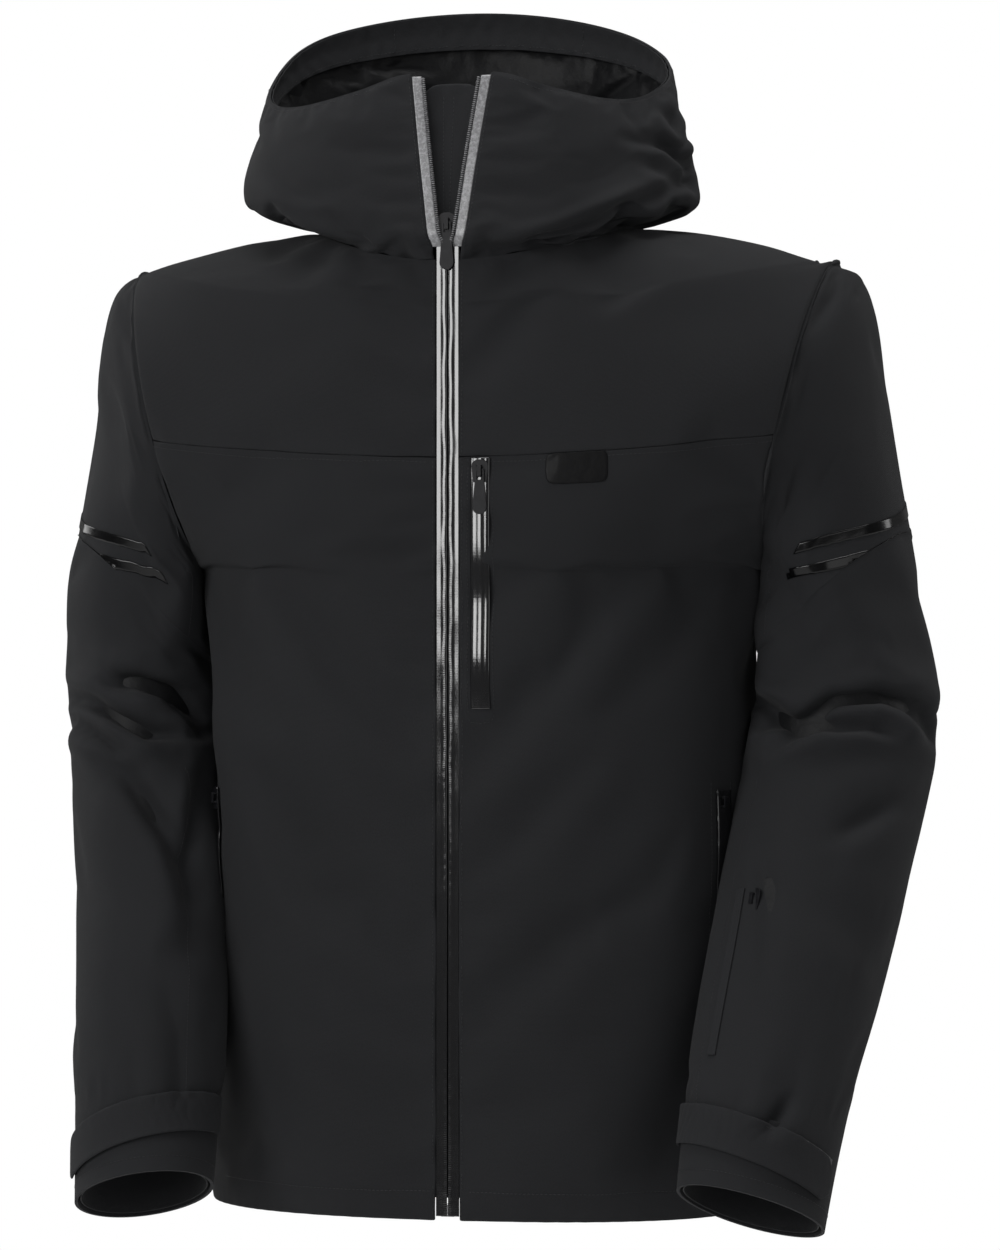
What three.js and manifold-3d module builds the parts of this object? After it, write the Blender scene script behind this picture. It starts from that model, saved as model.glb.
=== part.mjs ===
// Insulated ski jacket with a standing hood, filled out as if worn, front zip closed.
// Millimetres. +Z is up, the front faces -Y, +X is the wearer's left.
// Heights are counted from the hem while modelling; the finished group is moved so that
// the origin lies under the hang loop's bow, where a hook carries the jacket.
import * as THREE from 'three';
import { mergeVertices } from 'three/addons/utils/BufferGeometryUtils.js';
import Module from 'manifold-3d';

const wasm = await Module();
wasm.setup();

// ---- Driving dimensions ----
const gap = 0.3;                // between pieces that touch
const bodyHalfWidth = 200;
const frontDepth = 132;
const backDepth = 112;
const underarmHeight = 452;     // hem to the lowest point of the armhole
const armholeRise = 224;        // lowest to highest point of the armhole
const armholeHalfDepth = 96;
const underarmHalfWidth = 206;
const shoulderHalfWidth = 256;
const neckHalfWidth = 112;
const neckBackDepth = 78;
const neckSideRise = 24;        // shoulder tip to the side of the neck seam
const frontNeckDrop = 28;       // side of the neck seam down to its front
const collarHeight = 34;        // at the front, from the neck seam to the hood seam
const collarBackHeight = 12;

const shellWall = 3;
const bagClearance = 2;         // shell to pocket bag
const bagWall = 1.6;
const liningClearance = 2.4;    // pocket bag to lining
const liningWall = 1.5;
const sleeveClearance = 3;      // shell to lining in the sleeves and the hood

const zipOpening = 8.3;         // half width between the front panel edges
const coilGap = 0.9;            // half width between the two rows of coil
const coilWidth = 2.6;
const tapeWall = 1.4;
const tapeRecess = 0.6;
const sliderLength = 16;
const sliderHalfWidth = 6;
const pullerLength = 34;
const mainZipBottom = 12;
const chestZipOffset = 24;      // chest zip line to the centre front
const chestZipTop = 536;
const chestZipLength = 178;
const pocketZipHalfWidth = 8;
const handZipTop = 300;
const handZipLength = 190;

const hoodHalfWidth = 167;
const hoodRimHalfWidth = 150;
const hoodFrontHeight = 96;     // hood seam to the rim at the front
const hoodBackHeight = 166;
const hoodBackBulge = 28;
const veeHalfWidth = 23;        // half width of the open V at the rim

const elbowHeight = 372;
const elbowInner = 210;
const elbowOuter = 322;
const elbowHalfDepth = 66;
const cuffHeight = 15;
const cuffInner = 178;
const cuffOuter = 278;
const cuffHalfDepth = 50;
const cuffForward = 150;        // how far the cuff hangs in front of the elbow
const tabWidth = 30;
const tabWall = 1.4;
const sleeveSegments = 24;

// Depths inside the outer face, one layer behind another.
const bagDepth = shellWall + bagClearance;
const liningDepth = bagDepth + bagWall + liningClearance;
const sleeveLiningDepth = shellWall + sleeveClearance;
const brimDepth = sleeveLiningDepth + liningWall + 1.5;

const radians = THREE.MathUtils.degToRad;
const elbowTilt = radians(11);
const foreTilt = radians(22.8);

// ---- Materials ----
const look = (color, roughness, metalness = 0) =>
  new THREE.MeshStandardMaterial({ color, roughness, metalness });
const shellFabric = look(0x1b1c1f, 0.85);
const liningFabric = look(0x121215, 0.45);
const trimFabric = look(0x202124, 0.7);
const glossTape = look(0x2a2b2f, 0.22);
const zipMetal = look(0x54565b, 0.35, 0.9);
const bareMetal = look(0xa9abaf, 0.3, 1);
const hookLoop = look(0x17181a, 0.95);

const jacket = new THREE.Group();
function piece(name, geometry, material) {
  const mesh = new THREE.Mesh(geometry, material);
  mesh.name = name;
  jacket.add(mesh);
  return mesh;
}

// ---- Closed solids from mapped grids ----
function signedVolume(geometry) {
  const p = geometry.attributes.position;
  const [a, b, c] = [new THREE.Vector3(), new THREE.Vector3(), new THREE.Vector3()];
  let sum = 0;
  for (let i = 0; i < geometry.index.count; i += 3) {
    a.fromBufferAttribute(p, geometry.index.getX(i));
    b.fromBufferAttribute(p, geometry.index.getX(i + 1));
    c.fromBufferAttribute(p, geometry.index.getX(i + 2));
    sum += a.dot(b.cross(c));
  }
  return sum;
}

function facingOut(geometry) {
  if (signedVolume(geometry) < 0) {
    const index = geometry.index;
    for (let i = 0; i < index.count; i += 3) {
      const swap = index.getX(i + 1);
      index.setX(i + 1, index.getX(i + 2));
      index.setX(i + 2, swap);
    }
  }
  geometry.computeVertexNormals();
  return geometry;
}

function bare(geometry) {
  geometry.deleteAttribute('normal');
  geometry.deleteAttribute('uv');
  return mergeVertices(geometry);
}

function mapped(geometry, place) {
  const merged = bare(geometry);
  const p = merged.attributes.position;
  for (let i = 0; i < p.count; i += 1) {
    const at = place(p.getX(i), p.getY(i), p.getZ(i));
    p.setXYZ(i, at.x, at.y, at.z);
  }
  return facingOut(merged);
}

// A curved plate: place(across, along, depth) gets 0..1 three times, depth 0 on the outer face.
function plate(across, along, place) {
  const grid = new THREE.BoxGeometry(1, 1, 1, across, along, 1);
  return mapped(grid, (x, y, z) => place(x + 0.5, y + 0.5, 0.5 - z));
}

// A tube open at both ends: place(angle, along, depth), angle in radians, the others 0..1.
function tube(around, along, place) {
  const profile = [];
  for (let i = 0; i <= along; i += 1) profile.push(new THREE.Vector2(2, i / along));
  for (let i = along; i >= 0; i -= 1) profile.push(new THREE.Vector2(1, i / along));
  profile.push(profile[0].clone());
  const grid = new THREE.LatheGeometry(profile, around);
  return mapped(grid, (x, y, z) => place(Math.atan2(x, z), y, 2 - Math.hypot(x, z)));
}

function solidOf(geometry) {
  const merged = geometry.index && !geometry.attributes.uv ? geometry : bare(geometry);
  return new wasm.Manifold(new wasm.Mesh({
    numProp: 3,
    vertProperties: merged.attributes.position.array,
    triVerts: merged.index.array instanceof Uint32Array
      ? merged.index.array : new Uint32Array(merged.index.array),
  }));
}

function geometryOf(solid) {
  const mesh = solid.getMesh();
  const geometry = new THREE.BufferGeometry();
  geometry.setAttribute('position', new THREE.BufferAttribute(mesh.vertProperties, 3));
  geometry.setIndex(new THREE.BufferAttribute(mesh.triVerts, 1));
  geometry.computeVertexNormals();
  return geometry;
}

const block = (wide, deep, high, x, y, z) =>
  new THREE.BoxGeometry(wide, deep, high).translate(x, y, z);
const lerp = THREE.MathUtils.lerp;
const vec = (x, y, z) => new THREE.Vector3(x, y, z);

// ---- Body surface ----
// around: 0 at the centre front, 1 at the wearer's left side, 2 at the centre back, 3 at the right.
// rise: 0 at the hem, 1 at the underarm, 2 at the shoulder tip, 3 at the neck seam.
const shoulderTip = vec(shoulderHalfWidth, 0, underarmHeight + armholeRise);
const underarm = vec(underarmHalfWidth, 0, underarmHeight);
const armholeAcross = shoulderTip.clone().sub(underarm).normalize();
const armholeOut = vec(armholeAcross.z, 0, -armholeAcross.x);
const neckSideHeight = shoulderTip.z + neckSideRise;
const neckFrontHeight = neckSideHeight - frontNeckDrop;
const neckBackHeight = neckSideHeight + 6;
const neckSideY = (neckBackDepth - frontDepth) / 2;
const chestTopHeight = neckFrontHeight - 32;
const yokeRise = 1.459;

function sideEdge(rise, front) {
  if (rise <= 1) {
    const widening = THREE.MathUtils.smoothstep(rise, 0.88, 1);
    return vec(lerp(bodyHalfWidth, underarmHalfWidth, widening), 0, underarmHeight * rise);
  }
  if (rise <= 2) {
    const turn = Math.PI * (rise - 1.5);
    const at = underarm.clone().lerp(shoulderTip, (1 + Math.sin(turn)) / 2);
    at.y = armholeHalfDepth * Math.cos(turn) * (front ? -1 : 1);
    return at;
  }
  const t = rise - 2;
  return vec(
    lerp(shoulderTip.x, neckHalfWidth, t),
    neckSideY * t * t,
    lerp(shoulderTip.z, neckSideHeight, Math.sin(t * Math.PI / 2)),
  );
}

function middleLine(rise, front) {
  const reach = front ? -frontDepth : backDepth;
  const top = front ? chestTopHeight : neckBackHeight - 34;
  if (rise <= 1) return vec(0, reach, underarmHeight * rise);
  if (rise <= 2) {
    const t = (1 + Math.sin(Math.PI * (rise - 1.5))) / 2;
    const y = front ? reach : reach + 10 * Math.sin(Math.PI * t);
    return vec(0, y, lerp(underarmHeight, top, t));
  }
  const t = rise - 2;
  if (front) return vec(0, reach, lerp(top, neckFrontHeight, t));
  return vec(0, lerp(reach, neckBackDepth, t), lerp(top, neckBackHeight, t));
}

// Exponent of the rounded cross-section: 2 is an ellipse, more is squarer.
function squareness(rise) {
  if (rise < 1) return 2.4;
  if (rise < 2) return lerp(2.4, 2, rise - 1);
  return 2;
}

function bodyOuter(around, rise) {
  const turn = ((around % 4) + 4) % 4;
  const front = turn < 1 || turn > 3;
  const mirror = turn > 2 ? -1 : 1;
  const share = front ? Math.min(turn, 4 - turn) : Math.abs(turn - 2);
  const edge = sideEdge(rise, front);
  const middle = middleLine(rise, front);
  const power = 2 / squareness(rise);
  const out = Math.sin(share * Math.PI / 2) ** power;
  const forth = Math.max(0, Math.cos(share * Math.PI / 2)) ** power;
  return vec(
    mirror * edge.x * out,
    lerp(edge.y, middle.y, forth),
    lerp(middle.z, edge.z, out * out),
  );
}

// Where, counted from the centre front, the body surface stands at a distance x to the left.
function aroundAt(x, rise) {
  const share = (x / sideEdge(rise, true).x) ** (squareness(rise) / 2);
  return Math.asin(Math.min(1, share)) * 2 / Math.PI;
}

const nearSide = 0.004;
const step = 0.01;
function bodyNormal(around, rise) {
  let [lowTurn, highTurn] = [around - step, around + step];
  const atArmhole = rise > 1 && rise < 2;
  for (const side of [1, 3]) {
    if (atArmhole && Math.abs(around - side) < step) {
      if (around < side) highTurn = side - nearSide / 10;
      else lowTurn = side + nearSide / 10;
    }
  }
  const across = bodyOuter(highTurn, rise).sub(bodyOuter(lowTurn, rise));
  const lowRise = Math.max(0, rise - step);
  const highRise = Math.min(3, rise + step);
  const up = bodyOuter(around, highRise).sub(bodyOuter(around, lowRise));
  return across.cross(up).normalize();
}

// A point inside the outer face. Beside the armhole it stays behind the armhole's plane,
// where the sleeve starts.
function bodyAt(around, rise, depth) {
  const at = bodyOuter(around, rise).addScaledVector(bodyNormal(around, rise), -depth);
  if (rise < 1 || rise > 2) return at;
  const past = (Math.abs(at.x) - underarm.x) * armholeOut.x
    + (at.z - underarm.z) * armholeOut.z;
  if (past > 0) {
    at.x -= Math.sign(at.x) * armholeOut.x * past;
    at.z -= armholeOut.z * past;
  }
  return at;
}

const seam = 0.0006;
const riseOfHeight = (height) => height / underarmHeight;

// Shell and lining share these rows and columns, so that their facets stay apart. Only the
// row next to the shoulder tip is left out of the linings, which turn too sharply there.
const lowerRows = [seam, 0.42, 0.86, 1, 1.14, 1.3, yokeRise - seam];
const shoulderRow = 1.89;
const yokeRows = [yokeRise + seam, 1.62, 1.76, shoulderRow, 2, 2.2, 2.45, 2.7, 3 - seam];
const liningRows = [0.06, ...lowerRows.slice(1),
  ...yokeRows.slice(0, -1).filter((rise) => rise !== shoulderRow), 2.92];
const acrossFront = 8;
const acrossBack = 14;

// A panel of the body over some rows, on the front from a line beside the zip to the side seam.
function frontSheet(side, edgeX, rows, outer, wall, fromColumn = 0, toColumn = acrossFront) {
  return plate(toColumn - fromColumn, rows.length - 1, (u, v, d) => {
    const rise = rows[Math.round(v * (rows.length - 1))];
    const share = lerp(fromColumn, toColumn, u) / acrossFront;
    const around = lerp(aroundAt(edgeX, rise), 1 - nearSide / 8, share);
    return bodyAt(side > 0 ? around : 4 - around, rise, outer + wall * d);
  });
}

function backSheet(rows, outer, wall) {
  return plate(acrossBack, rows.length - 1, (u, v, d) => {
    const rise = rows[Math.round(v * (rows.length - 1))];
    return bodyAt(lerp(1 + nearSide / 8, 3 - nearSide / 8, u), rise, outer + wall * d);
  });
}

const sides = [{ name: 'left', side: 1 }, { name: 'right', side: -1 }];
for (const { name, side } of sides) {
  piece(`front_panel_${name}`,
    frontSheet(side, zipOpening, lowerRows, 0, shellWall), shellFabric);
  piece(`front_yoke_${name}`,
    frontSheet(side, zipOpening, yokeRows, 0, shellWall), shellFabric);
  piece(`front_lining_${name}`,
    frontSheet(side, zipOpening + 4, liningRows, liningDepth, liningWall), liningFabric);
}
piece('back_panel', backSheet(lowerRows, 0, shellWall), shellFabric);
piece('back_yoke', backSheet(yokeRows, 0, shellWall), shellFabric);
piece('back_lining', backSheet(liningRows, liningDepth, liningWall), liningFabric);

// Hem facing between shell and lining, and the snow skirt inside the waist, both open at the zip.
function innerBand(lowRise, highRise, lowDepth, highDepth, wall, frontGap) {
  return plate(24, 1, (u, v, d) => {
    const rise = lerp(lowRise, highRise, v);
    const from = aroundAt(frontGap, rise);
    return bodyAt(lerp(from, 4 - from, u), rise, lerp(lowDepth, highDepth, v) + wall * d);
  });
}
piece('hem_facing', innerBand(0.004, 0.052, bagDepth, bagDepth, liningWall, 13), trimFabric);
piece('snow_skirt', innerBand(0.17, 0.44, liningDepth + 15, liningDepth + 5,
  1.2, 20), liningFabric);

// ---- Collar base, below the hood seam ----
const hoodSeamFront = neckFrontHeight + collarHeight;
const hoodSeamBack = neckBackHeight + collarBackHeight;
const hoodSeamBackY = neckBackDepth + 4;
function onHoodSeamPlane(y) {
  const t = (y + frontDepth) / (hoodSeamBackY + frontDepth);
  return lerp(hoodSeamFront, hoodSeamBack, t);
}

function collarAt(around, rise, depth) {
  const low = bodyAt(around, 3, depth);
  const round = around * Math.PI / 2;
  const halfWidth = neckHalfWidth + 8 - depth;
  const y = Math.cos(round) > 0
    ? lerp(neckSideY, -frontDepth + depth, Math.cos(round))
    : lerp(neckSideY, hoodSeamBackY - depth, -Math.cos(round));
  const high = vec(halfWidth * Math.sin(round), y, onHoodSeamPlane(y) - gap);
  low.set(low.x, low.y, bodyOuter(around, 3).z + gap);
  const straight = vec(lerp(low.x, high.x, rise), y, lerp(low.z, high.z, rise));
  straight.y = lerp(low.y, high.y, rise);
  return straight;
}

for (const { name, side } of sides) {
  const strip = (edge, outer, wall) => plate(16, 2, (u, v, d) => {
    const from = Math.asin(edge / (neckHalfWidth + 8 * v)) * 2 / Math.PI;
    const around = lerp(from, 2 - seam * 4, u);
    return collarAt(side > 0 ? around : 4 - around, v, outer + wall * d);
  });
  piece(`collar_${name}`, strip(zipOpening, 0, shellWall), shellFabric);
}

// ---- Hood, above the hood seam ----
const hoodRows = [
  // share of the height, half width, front depth, back depth
  [0, neckHalfWidth + 8, frontDepth, hoodSeamBackY],
  [0.2, hoodHalfWidth - 6, frontDepth + 2, hoodSeamBackY + hoodBackBulge * 0.6],
  [0.42, hoodHalfWidth, frontDepth + 2, hoodSeamBackY + hoodBackBulge],
  [0.72, lerp(hoodHalfWidth, hoodRimHalfWidth, 0.45), frontDepth - 3,
    hoodSeamBackY + hoodBackBulge * 0.95],
  [1, hoodRimHalfWidth, frontDepth - 10, hoodSeamBackY + hoodBackBulge * 0.75],
];

// A smooth curve through the rows' values.
function alongRows(rows, share) {
  let i = 0;
  while (i < rows.length - 2 && share > rows[i + 1][0]) i += 1;
  const [before, from, to, after] = [rows[Math.max(0, i - 1)], rows[i], rows[i + 1],
    rows[Math.min(rows.length - 1, i + 2)]];
  const t = (share - from[0]) / (to[0] - from[0]);
  const span = to[0] - from[0];
  return from.map((value, k) => {
    const slopeIn = (to[k] - before[k]) / (to[0] - before[0]) * span;
    const slopeOut = (after[k] - value) / (after[0] - from[0]) * span;
    const [t2, t3] = [t * t, t * t * t];
    return value * (2 * t3 - 3 * t2 + 1) + slopeIn * (t3 - 2 * t2 + t)
      + to[k] * (3 * t2 - 2 * t3) + slopeOut * (t3 - t2);
  });
}

function hoodAt(around, share, depth) {
  const [, halfWidth, front, back] = alongRows(hoodRows, share);
  const round = around * Math.PI / 2;
  const middle = (back - front) / 2;
  const reach = Math.cos(round) > 0 ? middle + front : back - middle;
  const y = middle - Math.cos(round) * (reach - depth);
  const x = (halfWidth - depth) * Math.sin(round);
  const t = THREE.MathUtils.clamp((y + front) / (front + back), 0, 1);
  const low = onHoodSeamPlane(y) + gap;
  const rise = lerp(hoodFrontHeight, hoodBackHeight, t ** 2);
  return vec(x, y, low + rise * share);
}

const veeAt = (share) => lerp(3.5, veeHalfWidth, share);
const hoodTapeWidth = 8;
function hoodAround(x, share) {
  const [, halfWidth] = alongRows(hoodRows, share);
  return Math.asin(x / halfWidth) * 2 / Math.PI;
}
function hoodSheet(inset, lowShare, highShare, outer, wall, across, along) {
  return plate(across, along, (u, v, d) => {
    const share = lerp(lowShare, highShare, v);
    const from = hoodAround(veeAt(share) + inset, share);
    return hoodAt(lerp(from, 4 - from, u), share, outer + wall * d);
  });
}
piece('hood_shell', hoodSheet(hoodTapeWidth + gap, 0, 1, 0, shellWall, 24, 7), shellFabric);
piece('hood_lining', hoodSheet(hoodTapeWidth + gap, 0.02, 0.96, sleeveLiningDepth,
  liningWall, 24, 7),
  liningFabric);
piece('hood_brim', hoodSheet(60, 0.8, 0.985, brimDepth, liningWall, 18, 1), trimFabric);
for (const { name, side } of sides) {
  const tape = plate(1, 6, (u, v, d) => {
    const x = veeAt(v) + hoodTapeWidth * u;
    const around = hoodAround(x, v);
    return hoodAt(side > 0 ? around : 4 - around, v, tapeRecess + tapeWall * d);
  });
  piece(`hood_zip_tape_${name}`, tape, glossTape);
}
const chinGuardTop = 0.97;
const chinGuard = plate(6, 6, (u, v, d) => {
  const across = u * 2 - 1;
  const share = 0.01 + chinGuardTop * v * (1 - 0.12 * across ** 4 * v);
  const around = hoodAround(Math.abs(across) * (veeHalfWidth + 3), share);
  return hoodAt(across > 0 ? around : 4 - around, share, brimDepth + liningWall + 0.5 + 2 * d);
});
piece('chin_guard', chinGuard, shellFabric);

// ---- Main zip ----
const zipFace = -frontDepth;
const mainZipTop = hoodSeamFront - 1;
const mainSliderHeight = mainZipTop - sliderLength / 2;
const flapY = zipFace + liningDepth + liningWall + 4;
const stormFlap = block(34, 1.6, mainZipTop - 20, 0, flapY, (mainZipTop + 12) / 2);
piece('storm_flap', stormFlap, trimFabric);
for (const { name, side } of sides) {
  const length = mainZipTop - mainZipBottom;
  const middle = (mainZipTop + mainZipBottom) / 2;
  const width = zipOpening - gap - coilGap;
  const tapeY = zipFace + tapeRecess + tapeWall / 2;
  piece(`main_zip_tape_${name}`,
    block(width, tapeWall, length, side * (coilGap + width / 2), tapeY, middle), glossTape);
  piece(`main_zip_coil_${name}`,
    block(coilWidth, 2, length, side * (coilGap + coilWidth / 2),
      zipFace + tapeRecess + tapeWall + gap + 1, middle), trimFabric);
}
const coilBack = tapeRecess + tapeWall + gap + 2;
const boxHeight = 9;
piece('main_zip_box', block(10, 3, boxHeight, 0, zipFace + tapeRecess + 1.5,
  mainZipBottom - gap - boxHeight / 2), bareMetal);

// A slider: a tapered front plate with a bridge for the puller's eye, and on the main zip
// a web through the coil gap to a back plate.
const sliderWall = 1.8;
function sliderBody(faceY, withBack) {
  const outline = new THREE.Shape();
  outline.moveTo(-sliderHalfWidth * 0.8, -sliderLength / 2);
  outline.lineTo(sliderHalfWidth * 0.8, -sliderLength / 2);
  outline.lineTo(sliderHalfWidth, sliderLength * 0.2);
  outline.quadraticCurveTo(sliderHalfWidth, sliderLength / 2, 0, sliderLength / 2);
  outline.quadraticCurveTo(-sliderHalfWidth, sliderLength / 2, -sliderHalfWidth, sliderLength * 0.2);
  const front = new THREE.ExtrudeGeometry(outline,
    { depth: sliderWall, bevelEnabled: false, curveSegments: 4 });
  front.rotateX(Math.PI / 2).translate(0, faceY, 0);
  let body = solidOf(front);
  const legs = [-1, 1].map((end) => block(3, 2.4, 1.6, 0, faceY - sliderWall - 1, end * 3.2));
  const beam = block(3, 1, 8, 0, faceY - sliderWall - 2.4, 0);
  for (const part of [...legs, beam]) body = body.add(solidOf(part));
  if (withBack) {
    const web = block(coilGap, coilBack + gap + 2, 5, 0, faceY + (coilBack + gap) / 2, 4);
    const back = block(9, 1.2, 13, 0, faceY + coilBack + gap * 2 + 0.6, 0);
    body = body.add(solidOf(web)).add(solidOf(back));
  }
  return body;
}

// A puller: its bar lies under the slider's bridge, two rails pass the bridge and a plate
// widens to a round end. Its own origin is the bar's middle, which is the hinge.
const pullerWall = 1.2;
const barHalf = 0.7;
const eyeLength = 6.2;
function pullerBody(length) {
  const outline = new THREE.Shape();
  outline.moveTo(-3.2, barHalf);
  outline.lineTo(3.2, barHalf);
  outline.lineTo(3.4, -9);
  outline.lineTo(5, -length + 8);
  outline.absarc(0, -length + 6, 5, 0, -Math.PI, true);
  outline.lineTo(-3.4, -9);
  const eye = new THREE.Path();
  eye.moveTo(-2, -barHalf);
  eye.lineTo(-2, -barHalf - eyeLength);
  eye.lineTo(2, -barHalf - eyeLength);
  eye.lineTo(2, -barHalf);
  outline.holes.push(eye);
  return new THREE.ExtrudeGeometry(outline,
    { depth: pullerWall, bevelEnabled: false, curveSegments: 5 })
    .rotateX(Math.PI / 2).translate(0, pullerWall / 2, 0);
}

function zipSlider(name, place, withBack) {
  const slider = piece(`${name}_slider`, geometryOf(sliderBody(0, withBack)), zipMetal);
  slider.applyMatrix4(place);
  return slider;
}

// Main slider at the top of its run; its front plate lies just in front of the tapes.
const mainFaceY = zipFace + tapeRecess - gap;
const mainPlace = new THREE.Matrix4().makeTranslation(0, mainFaceY, mainSliderHeight);
zipSlider('main_zip', mainPlace, true);
const pullerStandoff = sliderWall + 0.95;
const mainPuller = piece('main_zip_puller', pullerBody(pullerLength), zipMetal);
mainPuller.position.set(0, mainFaceY - pullerStandoff, mainSliderHeight + barHalf);

// ---- Chest pocket ----
// A strip of tape over the shell between two rises, at a line x from the centre front.
const stripLift = 0.5;
const stripWall = 1.2;
function bodyStrip(side, x, lowHeight, highHeight, halfWidth, outer, wall, rows) {
  return plate(2, rows, (u, v, d) => {
    const height = lerp(lowHeight, highHeight, v);
    const rise = riseOfHeight(height);
    const around = aroundAt(x + (u * 2 - 1) * halfWidth, rise);
    return bodyAt(side > 0 ? around : 4 - around, rise, outer + wall * d);
  });
}
const riseAtFront = (height) => {
  if (height <= underarmHeight) return height / underarmHeight;
  const t = (height - underarmHeight) / (chestTopHeight - underarmHeight);
  return 1.5 + Math.asin(t * 2 - 1) / Math.PI;
};
function chestSheet(x, halfWidth, lowHeight, highHeight, outer, wall, across, along) {
  return plate(across, along, (u, v, d) => {
    const rise = riseAtFront(lerp(lowHeight, highHeight, v));
    const around = aroundAt(x + (u * 2 - 1) * halfWidth, rise);
    return bodyAt(around, rise, outer + wall * d);
  });
}
const chestZipBottom = chestZipTop - chestZipLength;
piece('chest_zip_tape', chestSheet(chestZipOffset, pocketZipHalfWidth, chestZipBottom,
  chestZipTop - 4, -stripLift - stripWall, stripWall, 2, 8), glossTape);
piece('chest_pocket_bag', frontSheet(1, zipOpening, lowerRows.slice(2, -1),
  bagDepth, bagWall, 0, 4), liningFabric);
const chestY = bodyOuter(aroundAt(chestZipOffset, 1), 1).y - stripLift - stripWall - gap * 2;
const chestSliderHeight = chestZipTop - 4 - sliderLength / 2;
zipSlider('chest_zip',
  new THREE.Matrix4().makeTranslation(chestZipOffset, chestY, chestSliderHeight), false);
const chestPuller = piece('chest_zip_puller', pullerBody(pullerLength - 2), zipMetal);
chestPuller.position.set(chestZipOffset, chestY - pullerStandoff, chestSliderHeight + barHalf);

const badgeOffset = 92;
const badgeHeight = 524;
piece('chest_badge', chestSheet(badgeOffset, 21, badgeHeight - 11, badgeHeight + 11,
  -1.7, 1.2, 4, 2), glossTape);

// ---- Hand pockets in the side fronts ----
const handZipOffset = 182;
const handBagRows = [riseOfHeight(handZipTop - handZipLength - 20), lowerRows[1],
  riseOfHeight(handZipTop)];
const handZipRise = riseOfHeight(handZipTop - handZipLength / 2);
for (const { name, side } of sides) {
  const low = handZipTop - handZipLength;
  piece(`hand_zip_tape_${name}`, bodyStrip(side, handZipOffset, low, handZipTop, 4,
    -stripLift - stripWall, stripWall, 6), glossTape);
  piece(`hand_pocket_bag_${name}`, frontSheet(side, zipOpening, handBagRows,
    bagDepth, bagWall, 2, 6), liningFabric);
  const around = aroundAt(handZipOffset, handZipRise);
  const turn = side > 0 ? around : 4 - around;
  const normal = bodyNormal(turn, handZipRise);
  const at = bodyAt(turn, handZipRise, -stripLift - stripWall - gap * 2);
  const flat = new THREE.Matrix4().makeBasis(
    vec(0, 0, 1).cross(normal).normalize(), normal.clone().negate(), vec(0, 0, 1));
  flat.setPosition(at.x, at.y, handZipTop - sliderLength / 2);
  zipSlider(`hand_zip_${name}`, flat, false);
}

// ---- Hang loop inside the back of the neck ----
const loopHalfWidth = 30;
const loopFootHeight = neckBackHeight - 2;
const loopBow = 22;
const loopY = neckBackDepth - liningDepth - 10;
const loopPath = new THREE.CatmullRomCurve3([
  vec(-loopHalfWidth, loopY, loopFootHeight),
  vec(-loopHalfWidth + 2, loopY - 1, loopFootHeight + loopBow * 0.6),
  vec(-loopHalfWidth + 12, loopY - 2, loopFootHeight + loopBow),
  vec(0, loopY - 2, loopFootHeight + loopBow + 2),
  vec(loopHalfWidth - 12, loopY - 2, loopFootHeight + loopBow),
  vec(loopHalfWidth - 2, loopY - 1, loopFootHeight + loopBow * 0.6),
  vec(loopHalfWidth, loopY, loopFootHeight),
]);
const loopThickness = 3;
const loopSection = new THREE.Shape()
  .absellipse(0, 0, loopThickness / 2, 3.5, 0, Math.PI * 2, false);
piece('hang_loop', new THREE.ExtrudeGeometry(loopSection,
  { steps: 16, bevelEnabled: false, extrudePath: loopPath, curveSegments: 2 }), trimFabric);

// ---- Sleeves ----
// Two guide lines, inner and outer, carry a ring each; angle 0 is the outer side, 90 degrees
// the front. The upper sleeve starts in the armhole plane and ends at the elbow plane.
const outerGuide = new THREE.CubicBezierCurve3(
  shoulderTip,
  shoulderTip.clone().add(vec(25, 0, -21)),
  vec(lerp(shoulderTip.x, elbowOuter, 0.55), 0, lerp(shoulderTip.z, elbowHeight, 0.38)),
  vec(elbowOuter, 0, elbowHeight),
);
const innerGuide = new THREE.LineCurve3(underarm, vec(elbowInner, 0, elbowHeight));

function ringPoint(inner, outer, tilt, halfDepth, angle, depth) {
  const centre = inner.clone().add(outer).multiplyScalar(0.5);
  const across = outer.clone().sub(inner).multiplyScalar(0.5);
  const forward = vec(0, -Math.cos(tilt), Math.sin(tilt));
  return centre
    .addScaledVector(across.clone().normalize(), (across.length() - depth) * Math.cos(angle))
    .addScaledVector(forward, (halfDepth - depth) * Math.sin(angle));
}

function upperAt(angle, share, depth) {
  const at = ringPoint(innerGuide.getPoint(share), outerGuide.getPoint(share),
    elbowTilt * share, lerp(armholeHalfDepth, elbowHalfDepth, Math.sqrt(share)), angle, depth);
  return at.addScaledVector(armholeOut, gap * (1 - share));
}

const foreCentre = (share) => vec(0, -cuffForward * share, lerp(elbowHeight, cuffHeight, share));
function foreAt(angle, share, depth) {
  const [inner, outer] = [foreCentre(share), foreCentre(share)];
  inner.x = lerp(elbowInner, cuffInner, share);
  outer.x = lerp(elbowOuter, cuffOuter, share);
  const tilt = lerp(elbowTilt, foreTilt, THREE.MathUtils.smoothstep(share, 0, 0.35));
  const at = ringPoint(inner, outer, tilt, lerp(elbowHalfDepth, cuffHalfDepth, share),
    angle, depth);
  return at.addScaledVector(vec(0, -Math.sin(elbowTilt), -Math.cos(elbowTilt)),
    gap * (1 - share));
}

const foreLength = Math.hypot(cuffForward, elbowHeight - cuffHeight);
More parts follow.
